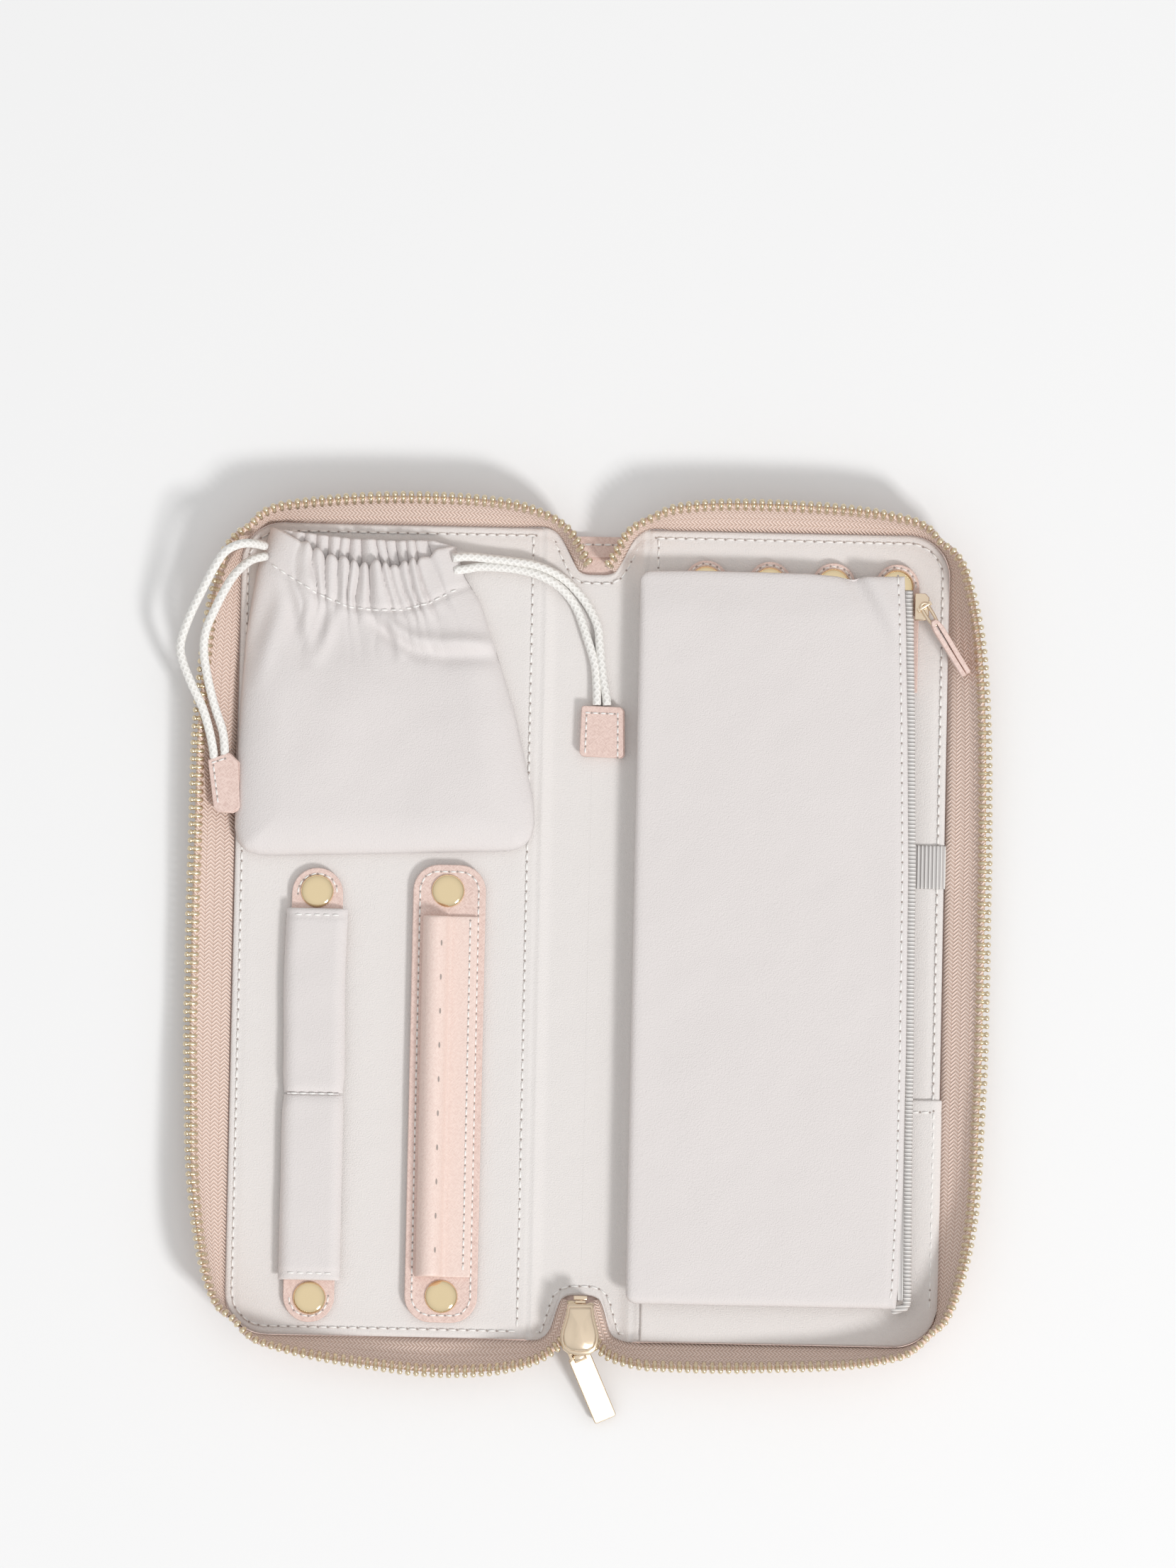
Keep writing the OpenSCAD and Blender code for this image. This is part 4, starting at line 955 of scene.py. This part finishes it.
base = plate("earringBase", barOutline(0), leatherZ, baseTop, 0.3, trim)
finishPiece(base, "earring_bar", "trim_leather", "earring_base")
path = [(x, y, baseTop + 0.03) for x, y in barOutline(2.0)]
stitches("earringBaseStitches", path + path[:1], "earring_bar", 2.3, 1.6, 0.23, slot="trim_leather")


def rollHeight(x, y, da, db):
    across = x - left
    flange = 1.1 * rounded(da, 0.5)
    crown = 0.0
    if 2.9 < across < 10.6:
        part = (across - 2.9) / 7.7
        crown = 5.1 * sqrt(max(1 - (2 * part - 1) ** 2, 0)) ** 0.9
    groove = 0.25 * exp(-((across - 10.5) / 0.35) ** 2)
    raised = max(flange, crown) * (0.82 + 0.18 * rounded(db, 0.8))
    return baseTop + raised - groove + 0.05 * ripple(x, y, 8, 7.0)


rollPiece = softPatch("earringRoll", 15.6, bar["rollHigh"] - bar["rollLow"], 0.8, 0.55,
                      lambda a, b: (left + 2.8 + a, bar["rollLow"] + b),
                      rollHeight, lambda x, y, da, db: baseTop, rollLeather)
finishPiece(rollPiece, "earring_bar", "trim_leather", "earring_roll")
stitches("earringFlangeStitches", [(left + 16.3, -96, 7.0), (left + 16.3, 2.6, 7.0)], "earring_bar", 2.3,
         1.6, 0.23, slot="trim_leather")
# Earring slits: flat dark ellipses painted as the shade inside each cut.
slits, slitFaces = [], []
for k in range(10):
    y = -3.7 - 9.6 * k
    slitFaces.append(tuple(range(len(slits), len(slits) + 8)))
    for a in turns(8):
        x = left + 8.4 + 0.26 * cos(a)
        slits.append((x, y + 0.85 * sin(a), rollHeight(x, y, 5, 5) + 0.06))
finishPiece(build("earringSlitShade", slits, slitFaces, holeShade), "earring_bar", "trim_leather")
caps = [snapCap("earringCap" + str(i), x, y, baseTop, -2.0)
        for i, (x, y) in enumerate(((-39.7, 11.2), (-39.2, -103.1)))]
finishPiece(joined("earringCaps", caps), "earring_bar", "gold_metal", "earring_caps")
print("ring strap and earring bar made")

# Drawstring pouch
pouch = {"low": 3.65, "high": 12.0, "pleats": 17}
pouchLeft = [(0, (-98.2, 22.4)), (0.03, (-99.6, 24.6)), (0.07, (-100.3, 28.0)), (0.2, (-100.4, 40)),
             (0.45, (-99.5, 62)), (0.68, (-98.4, 82)), (0.88, (-95.6, 101)), (1, (-91.9, 112.8))]
pouchRight = [(0, (-17.8, 25.0)), (0.03, (-16.4, 27.4)), (0.07, (-15.7, 30.8)), (0.16, (-16.2, 37.4)),
              (0.45, (-22, 62)), (0.62, (-26.7, 76.5)), (0.84, (-32.4, 93)), (0.93, (-36.8, 100)),
              (1, (-39.8, 108.4))]
pouchLow = [(0, (-98.2, 22.4)), (0.025, (-96.2, 20.9)), (0.06, (-93.2, 20.2)), (0.12, (-88.2, 20.1)),
            (0.5, (-57.5, 21.3)), (0.88, (-27.6, 22.5)), (0.94, (-22.8, 22.8)), (0.975, (-20.0, 23.5)),
            (1, (-17.8, 25.0))]
frontLip = [(0, (-91.9, 112.8)), (0.14, (-84.2, 108.6)), (0.26, (-77.5, 105.2)), (0.42, (-69.2, 102.6)),
            (0.66, (-57, 101.9)), (0.8, (-50.5, 103.4)), (0.92, (-44.6, 106.8)), (1, (-39.8, 108.4))]
backLip = [(0, (-91.9, 112.8)), (0.16, (-83, 111.6)), (0.42, (-70, 110.2)), (0.66, (-56, 109.8)),
           (0.86, (-46.5, 110.2)), (1, (-39.8, 108.4))]
# Creases on the bag's front: both ends, depth and width of each
creases = [(42, 79, 64, 65, 1.5, 2.4), (56, 70, 90, 60, 1.7, 2.7), (30, 78, 24, 60, 0.9, 2.2),
           (50, 77, 53, 62, 0.8, 1.8), (14, 84, 24, 58, 1.1, 2.8), (12, 78, 4, 46, 0.8, 3.0)]
casing = [(0, 0.915), (0.15, 0.90), (0.4, 0.872), (0.55, 0.868), (0.8, 0.885), (1, 0.90)]


def lineAt(table, t):
    return np.array([between([(k, p[0]) for k, p in table], t), between([(k, p[1]) for k, p in table], t)])


def pouchPoint(u, v, lip):
    # A point of the bag's outline patch: u across, v from its bottom to its mouth.
    corners = (lineAt(pouchLow, 0), lineAt(pouchLow, 1), lineAt(lip, 0), lineAt(lip, 1))
    sides = (1 - u) * lineAt(pouchLeft, v) + u * lineAt(pouchRight, v)
    ends = (1 - v) * lineAt(pouchLow, u) + v * lineAt(lip, u)
    flat = (1 - v) * ((1 - u) * corners[0] + u * corners[1]) + v * ((1 - u) * corners[2] + u * corners[3])
    return sides + ends - flat


def pleatAt(u, v):
    # Gathers: deep between the casing and the lip, and fading quickly down the bag.
    wander = u + 0.045 * ripple(u * 10, v * 12, 1.8, 6.0) + 0.02 * ripple(u * 30, v * 14, 2.1, 9.0)
    phase = pi * pouch["pleats"] * wander
    deep = 2.1 * abs(sin(phase)) ** 0.8 - 1.3 + 0.5 * sin(0.61 * phase + 1.3)
    deep *= 0.7 + 0.75 * ripple(u * 10, v * 3.0, 1.5, 2.0)
    gathered = smooth(u, 0.10, 0.26) * smooth(1 - u, 0.04, 0.16)
    reach = 0.06 * ripple(u * 10, 1.0, 0.9, 4.0)
    return deep * gathered * (0.85 * smooth(v, 0.80 + reach, 0.90) + 0.14 * smooth(v, 0.62 + reach, 0.82))


def pouchFront(u, v):
    edge = min(u, 1 - u) * 80
    round_ = rounded(min(edge, v * 88 + 0.01), 13.0)
    neck = 1 - 0.22 * smooth(v, 0.55, 0.86)
    fullness = 0.84 + 0.16 * sin(pi * min(v * 1.1, 1))
    z = pouch["low"] + 1.6 + (pouch["high"] - pouch["low"] - 2.2) * round_ * neck * fullness
    z += 1.3 * pleatAt(u, v) * rounded(edge, 8)
    pinch = exp(-((v - between(casing, u)) / 0.011) ** 2)
    z -= 0.7 * pinch
    folds = 0.9 * ripple(u * 84 - v * 40, v * 60 + u * 30, 24, 8.0) + 0.35 * ripple(u * 84, v * 90, 11, 2.0)
    z += folds * round_ * (0.5 + 0.5 * smooth(v, 0.2, 0.8))
    x, y = u * 84, v * 90
    for startX, startY, endX, endY, deep, wide in creases:
        runX, runY = endX - startX, endY - startY
        part = ((x - startX) * runX + (y - startY) * runY) / (runX ** 2 + runY ** 2)
        off = ((x - startX) * runY - (y - startY) * runX) / hypot(runX, runY)
        crest = exp(-(off / wide) ** 2) - 0.8 * exp(-((off - 1.6 * wide) / wide) ** 2)
        z += deep * sin(pi * min(max(part, 0), 1)) ** 0.8 * crest
    return max(z, pouch["low"] + 1.0)


columns = 170
rowPlaces = [1 - (1 - j / 100) ** 1.15 for j in range(101)]
sheet, faces = [], []
for i in range(columns + 1):
    u = i / columns
    for v in rowPlaces:
        x, y = pouchPoint(u, v, frontLip)
        sheet.append((x, y + 1.2 * pleatAt(u, v) * smooth(v, 0.9, 1), pouchFront(u, v)))
    x, y = pouchPoint(u, 1, frontLip)
    y += 1.2 * pleatAt(u, 1)
    z = pouchFront(u, 1)
    inside = rounded(min(u, 1 - u) * 80, 6)
    for out, down in ((0.7, 0.35), (0.9, 1.2), (-2.0, 1.9), (-9.0, 2.6)):  # the lip, rolled inwards
        sheet.append((x, y + out * inside, z - down * inside))
height = len(rowPlaces) + 4
frontCount = len(sheet)
for i in range(columns):
    for j in range(height - 1):
        k = i * height + j
        faces.append((k, k + height, k + height + 1, k + 1))
for i in range(columns + 1):
    u = i / columns
    for v in rowPlaces:
        x, y = pouchPoint(u, v, backLip)
        edge = min(min(u, 1 - u) * 80, v * 88)
        rise = (3.0 + 1.5 * pleatAt(u + 0.04, v)) * smooth(v, 0.8, 1.0) * rounded(min(u, 1 - u) * 80, 7)
        z = pouch["low"] + 1.9 * (1 - rounded(edge, 4)) + rise
        if v == 0 or i in (0, columns):
            z = pouchFront(u, v)
        sheet.append((x, y, z))
backHeight = len(rowPlaces)
for i in range(columns):
    for j in range(backHeight - 1):
        k = frontCount + i * backHeight + j
        faces.append((k, k + 1, k + backHeight + 1, k + backHeight))
bag = build("pouchBag", sheet, faces, paleVelvet, mend=False)
weld = bag.modifiers.new("weld", "WELD")
weld.merge_threshold = 0.00005
thicken = bag.modifiers.new("cloth", "SOLIDIFY")
thicken.thickness = 0.0005
thicken.offset = -1
finishPiece(bag, "pouch", "pale_velvet", "pouch_body", "pouch_neck")
path = []
for i in range(3, 60):
    u = i / 62
    v = between(casing, u)
    x, y = pouchPoint(u, v, frontLip)
    path.append((x, y, pouchFront(u, v) + 0.3))
stitches("pouchCasingStitches", path, "pouch", 2.8, 1.9, 0.24, holes=False)
print("pouch made")

# Right tray: necklace tabs, elastic band, chain pocket
necklace = {"x": (31.3, 49.3, 67.3, 85.3), "y": 100.0, "half": 6.2, "low": 70.0}
tabs, caps = [], []
for i, x in enumerate(necklace["x"]):
    outline = tabOutline(x, necklace["half"], necklace["y"] + necklace["half"], necklace["low"], 1)
    tabs.append(plate("necklaceTab" + str(i), outline, leatherZ, leatherTop, 0.22, trim))
    caps.append(snapCap("necklaceCap" + str(i), x, necklace["y"], leatherTop, -1.4))
finishPiece(joined("necklaceTabs", tabs), "right_half", "trim_leather", "necklace_tabs")
finishPiece(joined("necklaceCaps", caps), "right_half", "gold_metal", "necklace_caps")
for i, x in enumerate(necklace["x"]):
    path = [(p[0], p[1], 5.32) for p in arc((x, necklace["y"]), necklace["half"] - 1.0, -10, 190, 14)]
    stitches("necklaceStitches" + str(i), path, "right_half", 2.0, 1.3, 0.18, slot="trim_leather")
elastic = softPatch("elasticBand", 83.6, 12.3, 0.5, 1.2, lambda a, b: (18.0 + a, 14.7 + b),
                    lambda x, y, da, db: 3.9 + 0.5 * rounded(min(da, db), 0.5) + (0.0 if db > 1.0 else -0.12)
                    - 2.0 * smooth(x, 99.2, 101.6),
                    lambda x, y, da, db: 3.35 - 2.2 * smooth(x, 99.2, 101.6), webbing)
finishPiece(elastic, "right_half", "grey_webbing", "elastic_band")
pocketTop, pocketTall = -44.9, 69.6


def pocketPlace(a, b):
    x = 17.0 + a
    low = -(trayEnd(min(x, 100.3)) - 0.5)
    return x, low + (pocketTop - low) * b / pocketTall


pocket = softPatch("chainPocket", 83.9, pocketTall, 0.7, 1.3, pocketPlace,
                   lambda x, y, da, db: 3.75 + 0.55 * rounded(min(da, db), 0.7) + 0.12 * ripple(x, y, 16, 12.0)
                   - 0.9 * smooth(x, 99.0, 101.0) - 0.2 * exp(-((pocketTop - y - 3.5) / 0.6) ** 2),
                   lambda x, y, da, db: 3.4 - 0.9 * smooth(x, 99.0, 101.0), velvet)
finishPiece(pocket, "right_half", "velvet", "chain_pocket")
stitches("pocketStitches", [(19, pocketTop - 3.5, 4.22), (98.6, pocketTop - 3.5, 4.22)], "right_half",
         slot="velvet")
stitches("pocketSideStitches", [(98.3, -104, 4.25), (98.4, pocketTop - 4.2, 4.25)], "right_half", slot="velvet")
dress(gold, "left_studs", "right_studs")
print("tray fittings made")

# Zipped page
page = {"left": 12.65, "low": -104.0, "high": 102.3, "z": 7.3, "wide": 78.0, "tall": 207.0, "corner": 3.0}
pageRight = [(-104, 88.6), (-98, 89.3), (-70, 90.1), (-30, 90.3), (20, 90.0), (60, 89.0), (90, 87.9),
             (103.6, 87.2)]
pageTop = [(12.6, 102.6), (30, 103.0), (60, 102.8), (68, 102.2), (72.5, 101.2), (76, 102.2), (88, 102.6)]


def pagePlace(a, b):
    u, v = a / page["wide"], b / page["tall"]
    y = page["low"] + (page["high"] - page["low"]) * v
    x = page["left"] + (between(pageRight, y) - page["left"]) * u
    if v > 0.9:
        y += (between(pageTop, x) - page["high"]) * (v - 0.9) / 0.1
    corner, across = page["corner"], abs(x - page["left"])
    if across < corner:
        cut = corner - sqrt(max(corner ** 2 - (corner - across) ** 2, 0))
        y = y - cut * smooth(v, 0.97, 1.0) + cut * smooth(1 - v, 0.97, 1.0)
    return x, y


def creased(x, y):
    # A shallow crease from the dip in the page's top edge.
    across = (x - 72.5) * 0.86 + (y - 102.4) * 0.5
    beside = across - 3.6
    return (1.1 * exp(-(beside / 3.4) ** 2) - 2.0 * exp(-(across / 2.0) ** 2)) * smooth(y, 76, 103)


def pageTopZ(x, y, da, db):
    soft = 0.42 * ripple(x, y, 34, 15.0) + 0.12 * ripple(x, y, 9, 11.0)
    seam = 0.35 * exp(-((between(pageRight, y) - x - 1.9) / 0.6) ** 2)
    near = min(da, db)
    puff = (1.75 - 0.9 * smooth(y, 90, 103)) * rounded(near, 2.2)
    return page["z"] + 1.5 + puff + soft * smooth(near, 0, 10) - seam + creased(x, y)


cloth = softPatch("pageCloth", page["wide"], page["tall"], 1.8, 1.3, pagePlace, pageTopZ,
                  lambda x, y, da, db: page["z"] + 1.5 - 1.5 * rounded(min(da, db), 1.8), paleVelvet)
finishPiece(cloth, "page", "pale_velvet", "page_back", "page_front", "page_hinge")
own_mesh(cloth)
path = []
for i in range(60):
    y = -101.5 + 203.0 * i / 59
    x = between(pageRight, y) - 1.9
    path.append((x, y, pageTopZ(x, y, 1.9, 50) + 0.12))
stitches("pageZipStitches", path, "page", 2.8, 2.0, 0.2)
coilWide = [(-104, 4.6), (-96, 3.9), (-70, 2.8), (-20, 2.3), (40, 2.3), (80, 2.4), (96, 2.6), (101, 2.7)]
coilLine = [(between(pageRight, y) + between(coilWide, y) - 1.5, y) for y in np.linspace(-101.5, 98.6, 90)]
tapeRings = []
for x, y in coilLine:
    edge = between(pageRight, y)
    tapeRings.append([(edge - 2, y, 8.5), (x, y, 8.5), (x, y, 9.1), (edge - 2, y, 9.1)])
pageTape = loft("pageZipTape", tapeRings, webbing)
finishPiece(pageTape, "page", "grey_webbing", "page_zip_tape")
coilPath = curve([(87.5, -104.4, 7.9), (91.2, -103.4, 8.3)] + [(x, y, 8.85) for x, y in coilLine], 1.2)
coil = tube("pageZipCoil", coilPath, 1.15, coilGrey, 14)
finishPiece(coil, "page", "grey_webbing", "page_zip_coil")

runnerPlace = Matrix.Translation(Vector((92.0, 94.0, 8.85)))
runnerLine = [(-1.7, -3.7), (1.4, -3.7), (2.2, -2.4), (2.2, 2.6), (1.2, 3.7), (-1.7, 3.7)]
shell = [plate("runnerUpper", runnerLine, 1.25, 2.1, 0.25, gold, runnerPlace),
         plate("runnerLower", runnerLine, -2.1, -1.25, 0.25, gold, runnerPlace),
         plate("runnerSide", [(1.5, -2.6), (2.25, -2.4), (2.25, 2.6), (1.5, 2.8)], -1.8, 1.8, 0.2, gold,
               runnerPlace)]
hinge = {"place": (92.9, 93.9, 12.2), "yaw": 33, "drop": 8, "link": 5.2}
pullTurn = Matrix.Translation(Vector(hinge["place"])) @ Matrix.Rotation(radians(hinge["yaw"]), 4, "Z")
cross = pullTurn @ Matrix.Rotation(pi / 2, 4, "Y")
shell.append(plate("runnerPin", arc((0, 0), 0.5, 0, 340, 17), -2.2, 2.2, 0.1, gold, cross))
for k in (-1, 1):
    outline = [(k * 1.9 + x, y) for x, y in ((-0.3, -0.6), (0.3, -0.6), (0.3, 0.6), (-0.3, 0.6))]
    shell.append(plate("runnerEar" + str(k), outline, -1.1, 0.6, 0.12, gold, pullTurn))
finishPiece(joined("pageSlider", shell), "page_slider", "gold_metal", "page_slider")
pullLean = pullTurn @ Matrix.Rotation(radians(hinge["drop"]), 4, "X")
linkSide = [(0, 1.0), (0.85, 0.6), (1.0, -0.6), (1.0, -3.6), (0.7, -5.6), (0, -6.1)]
link = curve([(x, y, 0) for x, y in linkSide] + [(-x, y, 0) for x, y in reversed(linkSide[:-1])], 0.4)
rings = []
for i, p in enumerate(link[:-1]):
    ahead = Vector(link[(i + 1) % (len(link) - 1)] - link[i - 1 if i else len(link) - 2]).normalized()
    up = Vector((0, 0, 1))
    side = ahead.cross(up)
    rings.append([tuple(pullLean @ (Vector(p) + 0.45 * (cos(a) * side + sin(a) * up))) for a in turns(10)])
linkPiece = loft("pagePullLink", rings + [rings[0]], gold, caps=False)
finishPiece(linkPiece, "page_pull", "gold_metal", "page_pull_ring")
start = -hinge["link"] - 0.2
strips = []
for k in (-1, 1):
    outline = [(k * x, start - y)
               for x, y in ((0.25, 0), (1.3, 0.4), (1.55, 2), (1.45, 16.6), (1.2, 17), (0.15, 17))]
    strips.append(plate("pullStrip" + str(k), outline, -2.0, 2.4, 0.25, trim, pullLean))
outline = [(-1.3, start - 0.4), (-0.7, start + 0.9), (0.7, start + 0.9), (1.3, start - 0.4)]
strips.append(plate("pullStripFold", outline, -2.0, 2.4, 0.3, trim, pullLean))
finishPiece(joined("pagePullStrap", strips), "page_pull", "trim_leather", "page_pull_strap")
print("page made")
